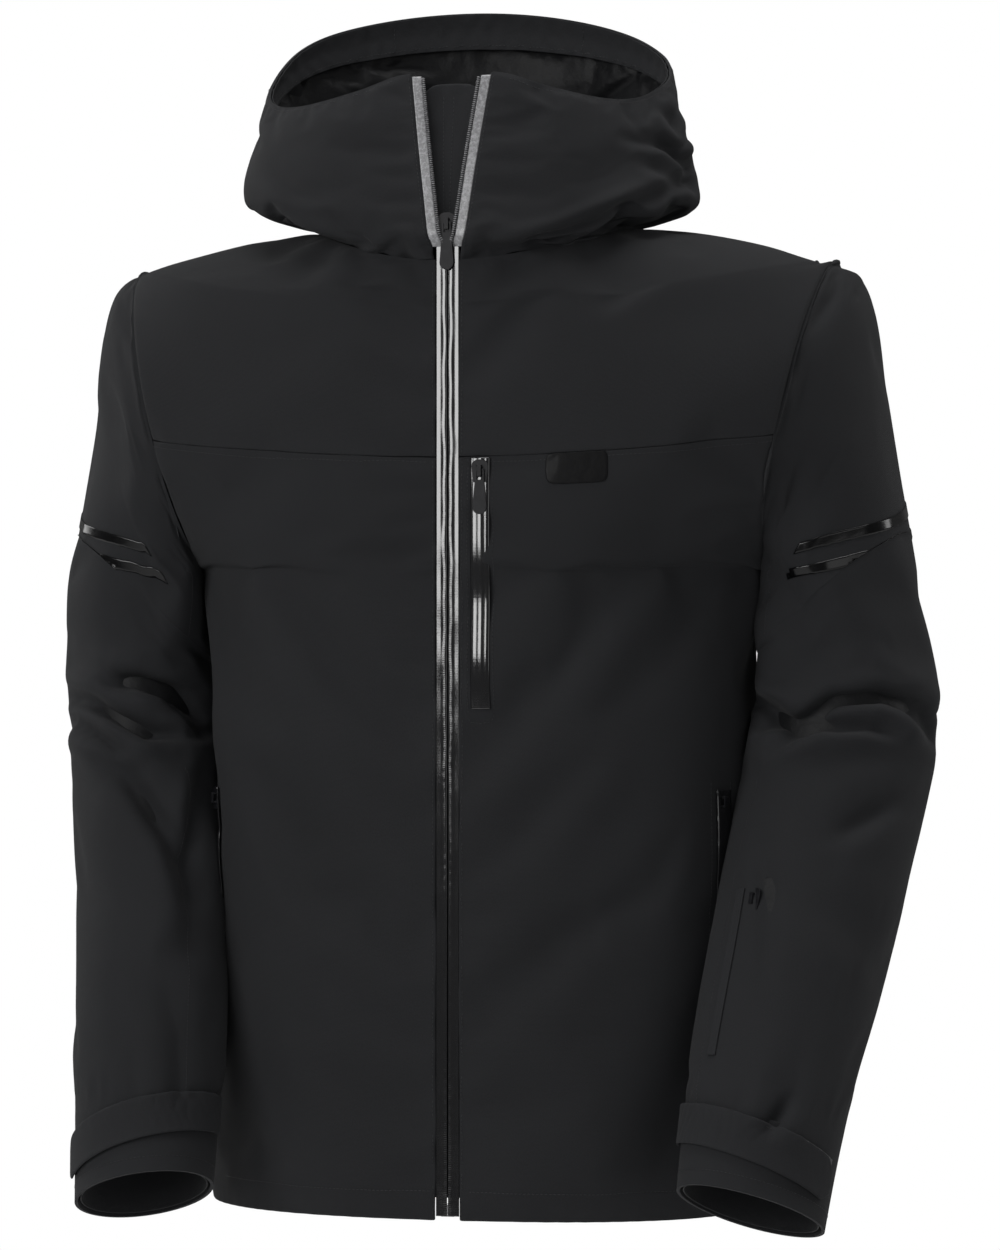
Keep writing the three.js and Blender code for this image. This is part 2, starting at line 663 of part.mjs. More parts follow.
// A tab or patch on the forearm: the grid keeps to the sleeve's own facets round the arm.
const facet = Math.PI * 2 / sleeveSegments;
function forePlate(mirror, fromFacet, facets, lowShare, slope, height, outer, wall, roundEnd) {
  return plate(facets, 2, (u, v, d) => {
    const around = (fromFacet - facets * u) * facet;
    const narrowing = roundEnd && u > 0.99 ? 0.55 : 1;
    const along = lowShare + slope * u + (height / foreLength) * (0.5 + (v - 0.5) * narrowing);
    const at = foreAt(around, along, outer + wall * d);
    at.x *= mirror;
    return at;
  });
}

const stripeHeights = [
  { name: 'upper', share: 0.5 },
  { name: 'lower', share: 0.575 },
];
for (const { name, side } of sides) {
  const mirrored = (at) => { at.x *= side; return at; };
  piece(`upper_sleeve_${name}`, tube(sleeveSegments, 6, (a, v, d) =>
    mirrored(upperAt(a, v, shellWall * d))), shellFabric);
  piece(`forearm_${name}`, tube(sleeveSegments, 5, (a, v, d) =>
    mirrored(foreAt(a, v, shellWall * d))), shellFabric);
  piece(`sleeve_lining_${name}`, tube(sleeveSegments, 6, (a, v, d) =>
    mirrored(upperAt(a, lerp(0.02, 0.99, v), sleeveLiningDepth + liningWall * d))), liningFabric);
  piece(`forearm_lining_${name}`, tube(sleeveSegments, 4, (a, v, d) =>
    mirrored(foreAt(a, lerp(0.01, 0.86, v), sleeveLiningDepth + liningWall * d))), liningFabric);
  piece(`cuff_facing_${name}`, tube(sleeveSegments, 1, (a, v, d) =>
    mirrored(foreAt(a, lerp(0.88, 0.995, v), shellWall + 1.5 + liningWall * d))), trimFabric);
  piece(`cuff_patch_${name}`, forePlate(side, 4, 3, 0.875, 0.012, tabWidth - 6,
    -0.9, 0.6, false), hookLoop);
  piece(`cuff_tab_${name}`, forePlate(side, 12, 11, 0.835, 0.055, tabWidth,
    -1.4 - tabWall, tabWall, true), shellFabric);
  for (const { name: level, share } of stripeHeights) {
    piece(`stripe_${level}_${name}`, plate(7, 1, (u, v, d) => {
      const around = (5 - 7 * u) * facet;
      const along = share + 0.055 * (1 - u) + 0.028 * v;
      return mirrored(upperAt(around, along, -1.5 + 1.1 * d));
    }), glossTape);
  }
}

// ---- Lift-pass pocket on the left forearm ----
const passAngle = 8.5 * facet;
const passLow = 0.44;
const passHigh = 0.76;
const passHalfTurn = 0.09;
const passPoint = (share, depth) => foreAt(passAngle, share, depth);
piece('pass_zip_tape', plate(2, 4, (u, v, d) => foreAt(passAngle + (u * 2 - 1) * passHalfTurn,
  lerp(passLow, passHigh, v), -stripLift - stripWall * (1 - d))), glossTape);
piece('pass_pocket_bag', plate(4, 2, (u, v, d) => foreAt((9 - 4 * u) * facet,
  lerp(passLow - 0.02, passHigh + 0.02, v), shellWall + 0.9 + 1.2 * d)), liningFabric);
{
  const run = passPoint(passHigh, 0).sub(passPoint(passLow, 0)).normalize();
  const out = passPoint(passLow, -1).sub(passPoint(passLow, 0)).normalize();
  const wide = run.clone().negate().cross(out).normalize();
  const flat = new THREE.Matrix4().makeBasis(wide, wide.clone().cross(run).normalize(),
    run.clone().negate());
  const at = passPoint(passLow, -stripLift - stripWall - 0.9)
    .addScaledVector(run, sliderLength / 2);
  flat.setPosition(at.x, at.y, at.z);
  zipSlider('pass_zip', flat, false);
}

// The origin: under the bow of the hang loop.
const hangHeight = loopFootHeight + loopBow + 2 - 3.5;
jacket.position.set(0, -(loopY - 2), -hangHeight);

export default jacket;
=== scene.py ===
import math
import bmesh
import bpy
import numpy as np
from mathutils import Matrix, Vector
from mathutils.bvhtree import BVHTree


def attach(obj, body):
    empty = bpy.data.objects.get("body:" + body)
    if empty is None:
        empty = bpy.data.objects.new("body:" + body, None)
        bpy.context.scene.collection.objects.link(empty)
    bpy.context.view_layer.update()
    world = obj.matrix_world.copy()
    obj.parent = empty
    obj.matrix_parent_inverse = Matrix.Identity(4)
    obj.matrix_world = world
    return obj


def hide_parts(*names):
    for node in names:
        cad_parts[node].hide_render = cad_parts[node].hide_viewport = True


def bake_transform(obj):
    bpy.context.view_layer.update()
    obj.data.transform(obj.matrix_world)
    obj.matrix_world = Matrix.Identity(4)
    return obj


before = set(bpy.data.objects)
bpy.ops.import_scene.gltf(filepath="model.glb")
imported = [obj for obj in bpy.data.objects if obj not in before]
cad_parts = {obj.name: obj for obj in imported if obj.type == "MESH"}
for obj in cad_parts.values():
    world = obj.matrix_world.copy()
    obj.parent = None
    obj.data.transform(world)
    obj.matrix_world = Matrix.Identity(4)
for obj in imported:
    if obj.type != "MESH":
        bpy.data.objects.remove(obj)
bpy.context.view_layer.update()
bpy.ops.object.select_all(action="DESELECT")
pi = math.pi

# the drawing below is in millimetres from the hem; this moves it under the hang loop
loopPlace = np.array([0.0, -57.0, -724.5])

cameraSetup = {"turn": 12.0, "distance": 3.2, "lens": 126.6, "aim": (0.0096, -0.057, -0.308)}
turn = math.radians(cameraSetup["turn"])
viewRight = np.array([math.cos(turn), math.sin(turn), 0.0])
viewAhead = np.array([-math.sin(turn), math.cos(turn), 0.0])
aim = Vector(cameraSetup["aim"])
bpy.ops.object.camera_add(
    location=aim - Vector(viewAhead) * cameraSetup["distance"],
    rotation=(pi / 2, 0, turn))
camera = bpy.context.object
camera.name = "camera"
camera.data.lens = cameraSetup["lens"]
camera.data.sensor_width = 36
camera.data.clip_end = 60
bpy.context.scene.camera = camera
bpy.context.scene.view_settings.view_transform = "Standard"


def softbox(name, place, target, size, watts):
    bpy.ops.object.light_add(type="AREA", location=place)
    light = bpy.context.object
    light.name = name
    light.rotation_euler = (Vector(target) - Vector(place)).to_track_quat("-Z", "Y").to_euler()
    light.data.shape = "RECTANGLE"
    light.data.size, light.data.size_y = size
    light.data.energy = watts
    return light


softbox("keyLight", (-1.9, -2.4, 1.0), (0, 0, -0.25), (1.4, 1.6), 48)
softbox("zipLight", (-0.62, -2.75, 0.11), (0, -0.19, 0.11), (0.8, 0.88), 15)
softbox("fillLight", (2.2, -2.4, 0.3), (0, 0, -0.35), (1.6, 1.8), 11)
softbox("topLight", (0.2, -0.3, 2.0), (0, 0, -0.1), (1.6, 1.2), 34)
softbox("rimLeft", (-2.4, 1.0, 0.6), (-0.1, 0, -0.3), (0.8, 2.0), 16)
softbox("rimRight", (2.6, 0.9, 0.7), (0.1, 0, -0.3), (0.8, 2.0), 22)

# the backdrop is white, and what it adds to the lamps is kept low
studio = {"backdrop": 1.0, "fill": 0.10}
world = bpy.data.worlds.new("studio")
bpy.context.scene.world = world
world.use_nodes = True
worldShade = world.node_tree.nodes["Background"]
worldShade.inputs["Color"].default_value = (1, 1, 1, 1)
rays = world.node_tree.nodes.new("ShaderNodeLightPath")
glow = world.node_tree.nodes.new("ShaderNodeMapRange")
glow.inputs["To Min"].default_value = studio["fill"]
glow.inputs["To Max"].default_value = studio["backdrop"]
world.node_tree.links.new(rays.outputs["Is Camera Ray"], glow.inputs["Value"])
world.node_tree.links.new(glow.outputs["Result"], worldShade.inputs["Strength"])
print("camera and lights done")


def newMaterial(name):
    material = bpy.data.materials.new(name)
    material.use_nodes = True
    return material, material.node_tree, material.node_tree.nodes["Principled BSDF"]


def addNode(tree, kind, settings=None, **inputs):
    made = tree.nodes.new(kind)
    for key, value in (settings or {}).items():
        setattr(made, key, value)
    for key, value in inputs.items():
        socket = made.inputs[int(key[1:])] if key[0] == "i" and key[1:].isdigit() else made.inputs[key]
        if isinstance(value, bpy.types.NodeSocket):
            tree.links.new(value, socket)
        else:
            socket.default_value = value
    return made


def tintBy(tree, shader, source, dark, pale, low=0.0, high=1.0):
    # the base colour runs from dark to pale
    ramp = addNode(tree, "ShaderNodeValToRGB", Fac=source)
    for stop, at, colour in zip(ramp.color_ramp.elements, (low, high), (dark, pale)):
        stop.position = at
        stop.color = (*colour, 1)
    tree.links.new(ramp.outputs["Color"], shader.inputs["Base Color"])


def roughBy(tree, shader, source, low, high):
    rough = addNode(tree, "ShaderNodeMapRange", Value=source)
    rough.inputs["To Min"].default_value = low
    rough.inputs["To Max"].default_value = high
    tree.links.new(rough.outputs["Result"], shader.inputs["Roughness"])


def bumpBy(tree, source, strength, distance, **below):
    return addNode(tree, "ShaderNodeBump", Strength=strength, Distance=distance, Height=source,
                   **below).outputs["Normal"]


def clothMaterial(name, dark, pale, look):
    # plain weave from two sets of yarns in the cloth's own metres, with a melange and soft wear
    material, tree, shader = newMaterial(name)
    place = addNode(tree, "ShaderNodeUVMap").outputs["UV"]
    objectPlace = addNode(tree, "ShaderNodeTexCoord").outputs["Object"]
    yarnScale = 2 * pi / (20 * look["yarnPitch"])
    warp = addNode(tree, "ShaderNodeTexWave", {"bands_direction": "X"}, Vector=place,
                   Scale=yarnScale, Distortion=0.4, Detail=1.0)
    weft = addNode(tree, "ShaderNodeTexWave", {"bands_direction": "Y"}, Vector=place,
                   Scale=yarnScale, Distortion=0.4, Detail=1.0)
    weave = addNode(tree, "ShaderNodeMath", {"operation": "MULTIPLY"}, i0=warp.outputs["Fac"],
                    i1=weft.outputs["Fac"])
    melange = addNode(tree, "ShaderNodeTexNoise", Vector=place, Scale=look["melangeScale"],
                      Detail=6.0, Roughness=0.7)
    cloud = addNode(tree, "ShaderNodeTexNoise", Vector=objectPlace, Scale=9.0, Detail=3.0)
    tone = addNode(tree, "ShaderNodeMath", {"operation": "MULTIPLY_ADD"}, i0=weave.outputs[0],
                   i1=look["weaveTone"], i2=melange.outputs["Fac"])
    tone = addNode(tree, "ShaderNodeMath", {"operation": "MULTIPLY_ADD"}, i0=cloud.outputs["Fac"],
                   i1=0.35, i2=tone.outputs[0])
    rim = addNode(tree, "ShaderNodeAttribute", {"attribute_name": "seamNear"})
    tone = addNode(tree, "ShaderNodeMath", {"operation": "MULTIPLY_ADD"}, i0=rim.outputs["Fac"],
                   i1=0.10, i2=tone.outputs[0])
    tintBy(tree, shader, tone.outputs[0], dark, pale, 0.38, 0.98)
    roughBy(tree, shader, cloud.outputs["Fac"], look["roughness"] - 0.06, look["roughness"] + 0.06)
    crinkle = addNode(tree, "ShaderNodeTexNoise", Vector=objectPlace, Scale=look["crinkleScale"],
                      Detail=4.0, Roughness=0.55)
    soft = bumpBy(tree, crinkle.outputs["Fac"], look["crinkle"], 0.004)
    pucker = addNode(tree, "ShaderNodeTexNoise", Vector=objectPlace, Scale=140.0, Detail=1.0)
    puckered = addNode(tree, "ShaderNodeMath", {"operation": "MULTIPLY"}, i0=pucker.outputs["Fac"],
                       i1=rim.outputs["Fac"])
    gathered = bumpBy(tree, puckered.outputs[0], look["pucker"], 0.003, Normal=soft)
    yarns = bumpBy(tree, weave.outputs[0], look["yarnBump"], 0.0003, Normal=gathered)
    tree.links.new(yarns, shader.inputs["Normal"])
    shader.inputs["Sheen Weight"].default_value = look["sheen"]
    shader.inputs["Sheen Roughness"].default_value = look["sheenRoughness"]
    shader.inputs["Specular IOR Level"].default_value = look["gloss"]
    return material


shellCloth = clothMaterial("shellCloth", (0.0080, 0.0083, 0.0091), (0.0190, 0.0195, 0.0212), {
    "yarnPitch": 0.0007, "melangeScale": 900.0, "weaveTone": 0.30, "roughness": 0.78,
    "crinkleScale": 34.0, "crinkle": 0.10, "pucker": 0.35, "yarnBump": 0.45,
    "sheen": 0.03, "sheenRoughness": 0.5, "gloss": 0.12})
liningSatin = clothMaterial("liningSatin", (0.0030, 0.0031, 0.0035), (0.0070, 0.0072, 0.0080), {
    "yarnPitch": 0.0004, "melangeScale": 500.0, "weaveTone": 0.2, "roughness": 0.46,
    "crinkleScale": 80.0, "crinkle": 0.30, "pucker": 0.5, "yarnBump": 0.2,
    "sheen": 0.02, "sheenRoughness": 0.4, "gloss": 0.16})
facingCloth = clothMaterial("facingCloth", (0.0080, 0.0083, 0.0091), (0.0180, 0.0185, 0.0200), {
    "yarnPitch": 0.0006, "melangeScale": 800.0, "weaveTone": 0.3, "roughness": 0.68,
    "crinkleScale": 40.0, "crinkle": 0.18, "pucker": 0.5, "yarnBump": 0.4,
    "sheen": 0.03, "sheenRoughness": 0.5, "gloss": 0.14})
hookLoop = clothMaterial("hookLoop", (0.0060, 0.0062, 0.0066), (0.0200, 0.0205, 0.0215), {
    "yarnPitch": 0.0012, "melangeScale": 1500.0, "weaveTone": 0.6, "roughness": 0.93,
    "crinkleScale": 700.0, "crinkle": 0.8, "pucker": 0.2, "yarnBump": 1.0,
    "sheen": 0.25, "sheenRoughness": 0.7, "gloss": 0.15})


knitPitch = 0.0011


def filmMaterial(name, dark, pale, look):
    # glossy film over tape: a faint knit shows through, with fine dust and scuffs
    material, tree, shader = newMaterial(name)
    place = addNode(tree, "ShaderNodeTexCoord").outputs["Object"]
    dust = addNode(tree, "ShaderNodeTexNoise", Vector=place, Scale=420.0, Detail=5.0, Roughness=0.65)
    tintBy(tree, shader, dust.outputs["Fac"], dark, pale, 0.35, 0.8)
    roughBy(tree, shader, dust.outputs["Fac"], look["roughness"] * 0.8, look["roughness"] * 1.35)
    waves = addNode(tree, "ShaderNodeTexNoise", Vector=place, Scale=look["rippleScale"], Detail=2.0)
    ripple = bumpBy(tree, waves.outputs["Fac"], look["ripple"], 0.002)
    knit = addNode(tree, "ShaderNodeTexWave", {"bands_direction": "Z"}, Vector=place,
                   Scale=2 * pi / (20 * knitPitch), Distortion=1.5)
    knitBump = bumpBy(tree, knit.outputs["Fac"], look["knit"], 0.0003, Normal=ripple)
    tree.links.new(knitBump, shader.inputs["Normal"])
    shader.inputs["Specular IOR Level"].default_value = look["gloss"]
    shader.inputs["Coat Weight"].default_value = look["coat"]
    shader.inputs["Coat Roughness"].default_value = 0.08
    return material


zipFilm = filmMaterial("zipFilm", (0.004, 0.004, 0.0045), (0.009, 0.009, 0.010), {
    "roughness": 0.10, "rippleScale": 60.0, "ripple": 0.05, "knit": 0.02, "gloss": 0.8, "coat": 0.4})
stripeFilm = filmMaterial("stripeFilm", (0.0010, 0.0010, 0.0012), (0.0026, 0.0026, 0.0030), {
    "roughness": 0.20, "rippleScale": 60.0, "ripple": 0.08, "knit": 0.0, "gloss": 0.25, "coat": 0.1})
badgeFilm = filmMaterial("badgeFilm", (0.0015, 0.0015, 0.0018), (0.0040, 0.0040, 0.0045), {
    "roughness": 0.42, "rippleScale": 150.0, "ripple": 0.1, "knit": 0.0, "gloss": 0.12, "coat": 0.02})
# the hood's V zip tapes and teeth are the same black glossy tape as the main zip; this pale grey base
# colour is painted reflection, standing in for a lamp's glint that their tilted faces don't catch
veePaintedReflectionFilm = filmMaterial("veePaintedReflectionFilm", (0.14, 0.14, 0.145), (0.30, 0.30, 0.31), {
    "roughness": 0.25, "rippleScale": 90.0, "ripple": 0.1, "knit": 0.2, "gloss": 0.6, "coat": 0.3})
toothPlastic = filmMaterial("toothPlastic", (0.010, 0.010, 0.011), (0.022, 0.022, 0.024), {
    "roughness": 0.30, "rippleScale": 500.0, "ripple": 0.1, "knit": 0.0, "gloss": 0.7, "coat": 0.2})


def metalMaterial(name, base, worn, roughness, metallic):
    material, tree, shader = newMaterial(name)
    place = addNode(tree, "ShaderNodeTexCoord").outputs["Object"]
    grain = addNode(tree, "ShaderNodeTexNoise", Vector=place, Scale=900.0, Detail=6.0, Roughness=0.7)
    spots = addNode(tree, "ShaderNodeTexNoise", Vector=place, Scale=160.0, Detail=3.0)
    mixed = addNode(tree, "ShaderNodeMath", {"operation": "MULTIPLY"}, i0=grain.outputs["Fac"],
                    i1=spots.outputs["Fac"])
    tintBy(tree, shader, mixed.outputs[0], base, worn, 0.2, 0.42)
    roughBy(tree, shader, grain.outputs["Fac"], roughness * 0.75, roughness * 1.4)
    tree.links.new(bumpBy(tree, grain.outputs["Fac"], 0.15, 0.0002), shader.inputs["Normal"])
    shader.inputs["Metallic"].default_value = metallic
    shader.inputs["Specular IOR Level"].default_value = 0.2 + 0.3 * metallic
    return material


darkMetal = metalMaterial("darkMetal", (0.004, 0.004, 0.005), (0.011, 0.011, 0.013), 0.40, 0.0)
paleMetal = metalMaterial("paleMetal", (0.30, 0.30, 0.31), (0.55, 0.55, 0.56), 0.24, 0.9)


def threadMaterial():
    material, tree, shader = newMaterial("seamThread")
    place = addNode(tree, "ShaderNodeTexCoord").outputs["Object"]
    twist = addNode(tree, "ShaderNodeTexWave", {"bands_direction": "DIAGONAL"}, Vector=place,
                    Scale=700.0, Distortion=1.0)
    tintBy(tree, shader, twist.outputs["Fac"], (0.006, 0.006, 0.007), (0.022, 0.022, 0.024))
    tree.links.new(bumpBy(tree, twist.outputs["Fac"], 0.5, 0.0002), shader.inputs["Normal"])
    shader.inputs["Roughness"].default_value = 0.5
    return material


seamThread = threadMaterial()


def floorMaterial():
    material, tree, shader = newMaterial("paleFloor")
    place = addNode(tree, "ShaderNodeTexCoord").outputs["Object"]
    cloud = addNode(tree, "ShaderNodeTexNoise", Vector=place, Scale=3.0, Detail=2.0)
    tintBy(tree, shader, cloud.outputs["Fac"], (0.90, 0.90, 0.90), (0.93, 0.93, 0.93))
    shader.inputs["Roughness"].default_value = 0.9
    return material


floorSetup = {"depth": -1.25, "across": 6.0}
bpy.ops.mesh.primitive_grid_add(x_subdivisions=8, y_subdivisions=8, size=floorSetup["across"],
                                location=(0, 0, floorSetup["depth"]))
floorPiece = bpy.context.object
floorPiece.name = "paleFloor"
floorPiece.data.materials.append(floorMaterial())
print("materials and floor done")


# the outline of the body, in drawing millimetres
bodySize = {
    "halfWidth": 200.0, "front": 132.0, "back": 112.0, "underarm": 452.0, "armholeRise": 224.0,
    "armholeHalfDepth": 96.0, "underarmHalfWidth": 206.0, "shoulderHalfWidth": 256.0,
    "neckHalfWidth": 112.0, "neckBack": 78.0, "chestTop": 640.0, "yokeRise": 1.459,
    "neckSide": 700.0, "neckFront": 672.0, "neckRear": 706.0, "neckSideY": -27.0, "zipOpening": 8.3}


def lerp(a, b, t):
    return a + (b - a) * t


def smooth(value, low, high):
    t = np.clip((value - low) / (high - low), 0, 1)
    return t * t * (3 - 2 * t)


def through(at, knots, values):
    # a smooth curve through the knots' values
    knots, values = np.asarray(knots, float), np.asarray(values, float)
    slopes = np.gradient(values, knots)
    slopes[0] = slopes[-1] = 0
    at = np.clip(at, knots[0], knots[-1])
    i = np.clip(np.searchsorted(knots, at) - 1, 0, len(knots) - 2)
    span = knots[i + 1] - knots[i]
    t = (at - knots[i]) / span
    return (values[i] * (2 * t**3 - 3 * t**2 + 1) + slopes[i] * span * (t**3 - 2 * t**2 + t)
            + values[i + 1] * (3 * t**2 - 2 * t**3) + slopes[i + 1] * span * (t**3 - t**2))


def sideEdge(rise, front):
    b = bodySize
    top = b["underarm"] + b["armholeRise"]
    low = np.clip(rise, 0, 1)
    swing = pi * (np.clip(rise, 1, 2) - 1.5)
    t = (1 + np.sin(swing)) / 2
    u = np.clip(rise, 2, 3) - 2
    x = np.where(rise <= 1, lerp(b["halfWidth"], b["underarmHalfWidth"], smooth(low, 0.88, 1)),
                 np.where(rise <= 2, lerp(b["underarmHalfWidth"], b["shoulderHalfWidth"], t),
                          lerp(b["shoulderHalfWidth"], b["neckHalfWidth"], u)))
    y = np.where(rise <= 1, 0.0,
                 np.where(rise <= 2, b["armholeHalfDepth"] * np.cos(swing) * np.where(front, -1, 1),
                          b["neckSideY"] * u * u))
    z = np.where(rise <= 1, b["underarm"] * low,
                 np.where(rise <= 2, lerp(b["underarm"], top, t),
                          lerp(top, b["neckSide"], np.sin(u * pi / 2))))
    return x, y, z


def middleLine(rise, front):
    b = bodySize
    reach = np.where(front, -b["front"], b["back"])
    top = np.where(front, b["chestTop"], b["neckRear"] - 34)
    t = (1 + np.sin(pi * (np.clip(rise, 1, 2) - 1.5))) / 2
    u = np.clip(rise, 2, 3) - 2
    bulge = np.where(front, 0.0, 10 * np.sin(pi * t)) * (rise <= 2)
    neckY = np.where(front, reach, lerp(reach, b["neckBack"], u))
    y = np.where(rise <= 2, reach + bulge, neckY)
    z = np.where(rise <= 1, b["underarm"] * rise,
                 np.where(rise <= 2, lerp(b["underarm"], top, t),
                          lerp(top, np.where(front, b["neckFront"], b["neckRear"]), u)))
    return y, z


def squareness(rise):
    t = (1 + np.sin(pi * (np.clip(rise, 1, 2) - 1.5))) / 2
    return lerp(2.4, 2.0, t)


def cutCurve(ex, ey, my, rise):
    # beside the armhole a row is the round of the chest, cut where it meets the armhole's edge
    square = squareness(rise)
    cut = np.where((rise > 1) & (rise < 2), np.clip(ey / my, 0, 0.98), 0)
    reach = (1 - cut ** square) ** (1 / square)
    return ex / reach, np.arcsin(np.clip(reach ** (square / 2), 0, 1))


def bodyOuter(around, rise):
    around, rise = np.broadcast_arrays(np.asarray(around, float), np.asarray(rise, float))
    turned = np.mod(around, 4)
    front = (turned < 1) | (turned > 3)
    mirror = np.where(turned > 2, -1.0, 1.0)
    share = np.where(front, np.minimum(turned, 4 - turned), np.abs(turned - 2))
    ex, ey, ez = sideEdge(rise, front)
    my, mz = middleLine(rise, front)
    power = 2 / squareness(rise)
    full, last = cutCurve(ex, ey, my, rise)
    out = np.sin(share * last) ** power * full / ex
    forth = np.clip(np.cos(share * last), 0, 1) ** power
    y = np.where((rise > 1) & (rise < 2), my * forth, lerp(ey, my, forth))
    return np.stack([mirror * ex * out, y, lerp(mz, ez, out * out)], -1)


def bodyNormal(around, rise):
    step = 0.01
    around, rise = np.broadcast_arrays(np.asarray(around, float), np.asarray(rise, float))
    low, high = around - step, around + step
    armhole = (rise > 1) & (rise < 2)
    for side in (1, 3):
        near = armhole & (np.abs(around - side) < step)
        high = np.where(near & (around < side), side - 0.0004, high)
        low = np.where(near & (around >= side), side + 0.0004, low)
    across = bodyOuter(high, rise) - bodyOuter(low, rise)
    up = bodyOuter(around, np.minimum(3, rise + step)) - bodyOuter(around, np.maximum(0, rise - step))
    normal = np.cross(across, up)
    return normal / np.linalg.norm(normal, axis=-1, keepdims=True)


def bodyAt(around, rise, depth=0.0):
    return bodyOuter(around, rise) - bodyNormal(around, rise) * np.asarray(depth)[..., None]


def aroundAt(x, rise):
    front = np.ones_like(rise, bool)
    ex, ey, _ = sideEdge(rise, front)
    full, last = cutCurve(ex, ey, middleLine(rise, front)[0], rise)
    share = np.clip(x / full, 0, 1) ** (squareness(rise) / 2)
    return np.clip(np.arcsin(np.clip(share, 0, 1)) / last, 0, 1)


def riseAtFront(height):
    low, top = bodySize["underarm"], bodySize["chestTop"]
    t = np.clip((height - low) / (top - low), 0, 1)
    return np.where(height <= low, height / low, 1.5 + np.arcsin(t * 2 - 1) / pi)


# the hood's outline: from the neck seam over a fold that hangs on the yoke, to the rim
hoodSize = {
    # distance round from the zip: 0 front, 1 side, 2 back
    "roundKnots": [0, 0.15, 0.3, 0.6, 1.0, 1.25, 1.5, 2.0],
    "foldHeight": [690, 688, 690, 704, 719, 724, 729, 734],
    "foldHalfWidth": [142, 145, 151, 159, 161, 160, 159, 157],
    "rimHeight": [803, 804, 795, 788, 812, 838, 858, 876],
    # distance up from the neck: neck, under the fold, fold, over the fold, wall, rim
    "profileKnots": [0, 0.14, 0.26, 0.36, 0.66, 1.0],
    "frontHalfWidths": [112, 118, 142, 146, 147, 148],
    "frontDepth": [132, 134, 137, 136, 131, 122],
    "backDepth": [78, 88, 104, 108, 110, 101],
    "rimHalfWidth": 148, "lean": 11, "rimTilt": 8}


def hoodAt(around, share, depth=0.0):
    h = hoodSize
    around, share = np.broadcast_arrays(np.asarray(around, float), np.asarray(share, float))
    turned = np.mod(around, 4)
    away = np.minimum(turned, 4 - turned)
    angle = turned * pi / 2
    neck = bodyOuter(around, np.full_like(share, 3.0))
    foldZ = through(away, h["roundKnots"], h["foldHeight"])
    foldX = through(away, h["roundKnots"], h["foldHalfWidth"])
    rimZ = through(away, h["roundKnots"], h["rimHeight"])
    rimZ = rimZ - h["rimTilt"] * np.sin(angle) * smooth(away, 0.8, 1.4)
    hang = smooth(away, 0.1, 0.8)
    # heights at the profile's knots
    knots = np.array(h["profileKnots"])
    under = lerp(lerp(neck[..., 2], foldZ, 0.55), neck[..., 2] + 7, hang)
    over = lerp(foldZ + 14, foldZ + 13, hang)
    heights = np.stack([neck[..., 2], under, foldZ, over, lerp(over, rimZ, 0.47), rimZ], -1)
    halfWidths = np.stack([
        np.full_like(foldX, bodySize["neckHalfWidth"]), lerp(118, 142, hang), foldX,
        foldX + 3, lerp(foldX, h["rimHalfWidth"], 0.4) + 1, np.full_like(foldX, h["rimHalfWidth"])], -1)
    fronts = np.broadcast_to(np.array(h["frontDepth"], float), heights.shape)
    backs = np.broadcast_to(np.array(h["backDepth"], float), heights.shape)
    i = np.clip(np.searchsorted(knots, share) - 1, 0, 4)
    t = (share - knots[i]) / (knots[i + 1] - knots[i])

    def at(k):
        return knots[np.clip(k, 0, 5)]

    def along(rows):
        def take(k):
            return np.take_along_axis(rows, np.clip(k, 0, 5)[..., None], -1)[..., 0]

        span = at(i + 1) - at(i)
        slopeIn = (take(i + 1) - take(i - 1)) / (at(i + 1) - at(i - 1)) * span
        slopeOut = (take(i + 2) - take(i)) / (at(i + 2) - at(i)) * span
        return (take(i) * (2 * t**3 - 3 * t**2 + 1) + slopeIn * (t**3 - 2 * t**2 + t)
                + take(i + 1) * (3 * t**2 - 2 * t**3) + slopeOut * (t**3 - t**2))

    wide, high, front, back = along(halfWidths), along(heights), along(fronts), along(backs)
    middle = (back - front) / 2
    toNeck = 1 - smooth(share, 0, 0.2)
    reach = np.where(np.cos(angle) > 0, middle + front, back - middle)
    y = middle - np.cos(angle) * (reach - depth)
    x = (wide - depth) * np.sin(angle)
    neckY = neck[..., 1]
    y = lerp(y, neckY + depth * np.cos(angle), toNeck)
    x = lerp(x, neck[..., 0] - depth * np.sin(angle), toNeck)
    x = x - h["lean"] * smooth(away, 0.15, 0.9) * smooth(share, 0, 0.5)
    return np.stack([x, y, high], -1)


def hoodAround(x, share):
    wide = through(share, hoodSize["profileKnots"], hoodSize["frontHalfWidths"])
    return np.arcsin(np.clip(x / wide, 0, 1)) * 2 / pi


def veeAt(share):
    # half width of the open V between the two tapes
    return lerp(1.0, 3.5, smooth(share, 0, 0.26)) + 17.0 * np.clip((share - 0.2) / 0.8, 0, 1)


# the outline of the sleeves
sleeveSize = {
    "elbowHeight": 372.0, "elbowInner": 203.0, "elbowOuter": 322.0, "elbowHalfDepth": 66.0,
    "cuffHeight": 15.0, "cuffInner": 178.0, "cuffOuter": 278.0, "cuffHalfDepth": 50.0,
    "cuffForward": 150.0, "elbowTilt": math.radians(11), "cuffTilt": math.radians(22.8),
    "shoulderBulge": 12.0, "cuffInward": 12.0, "cuffSlope": 11.0, "innerFill": 4.0}
tip = np.array([bodySize["shoulderHalfWidth"], 0.0, bodySize["underarm"] + bodySize["armholeRise"]])
pit = np.array([bodySize["underarmHalfWidth"], 0.0, bodySize["underarm"]])
tipToPit = (tip - pit) / np.linalg.norm(tip - pit)
armholeOut = np.array([tipToPit[2], 0.0, -tipToPit[0]])


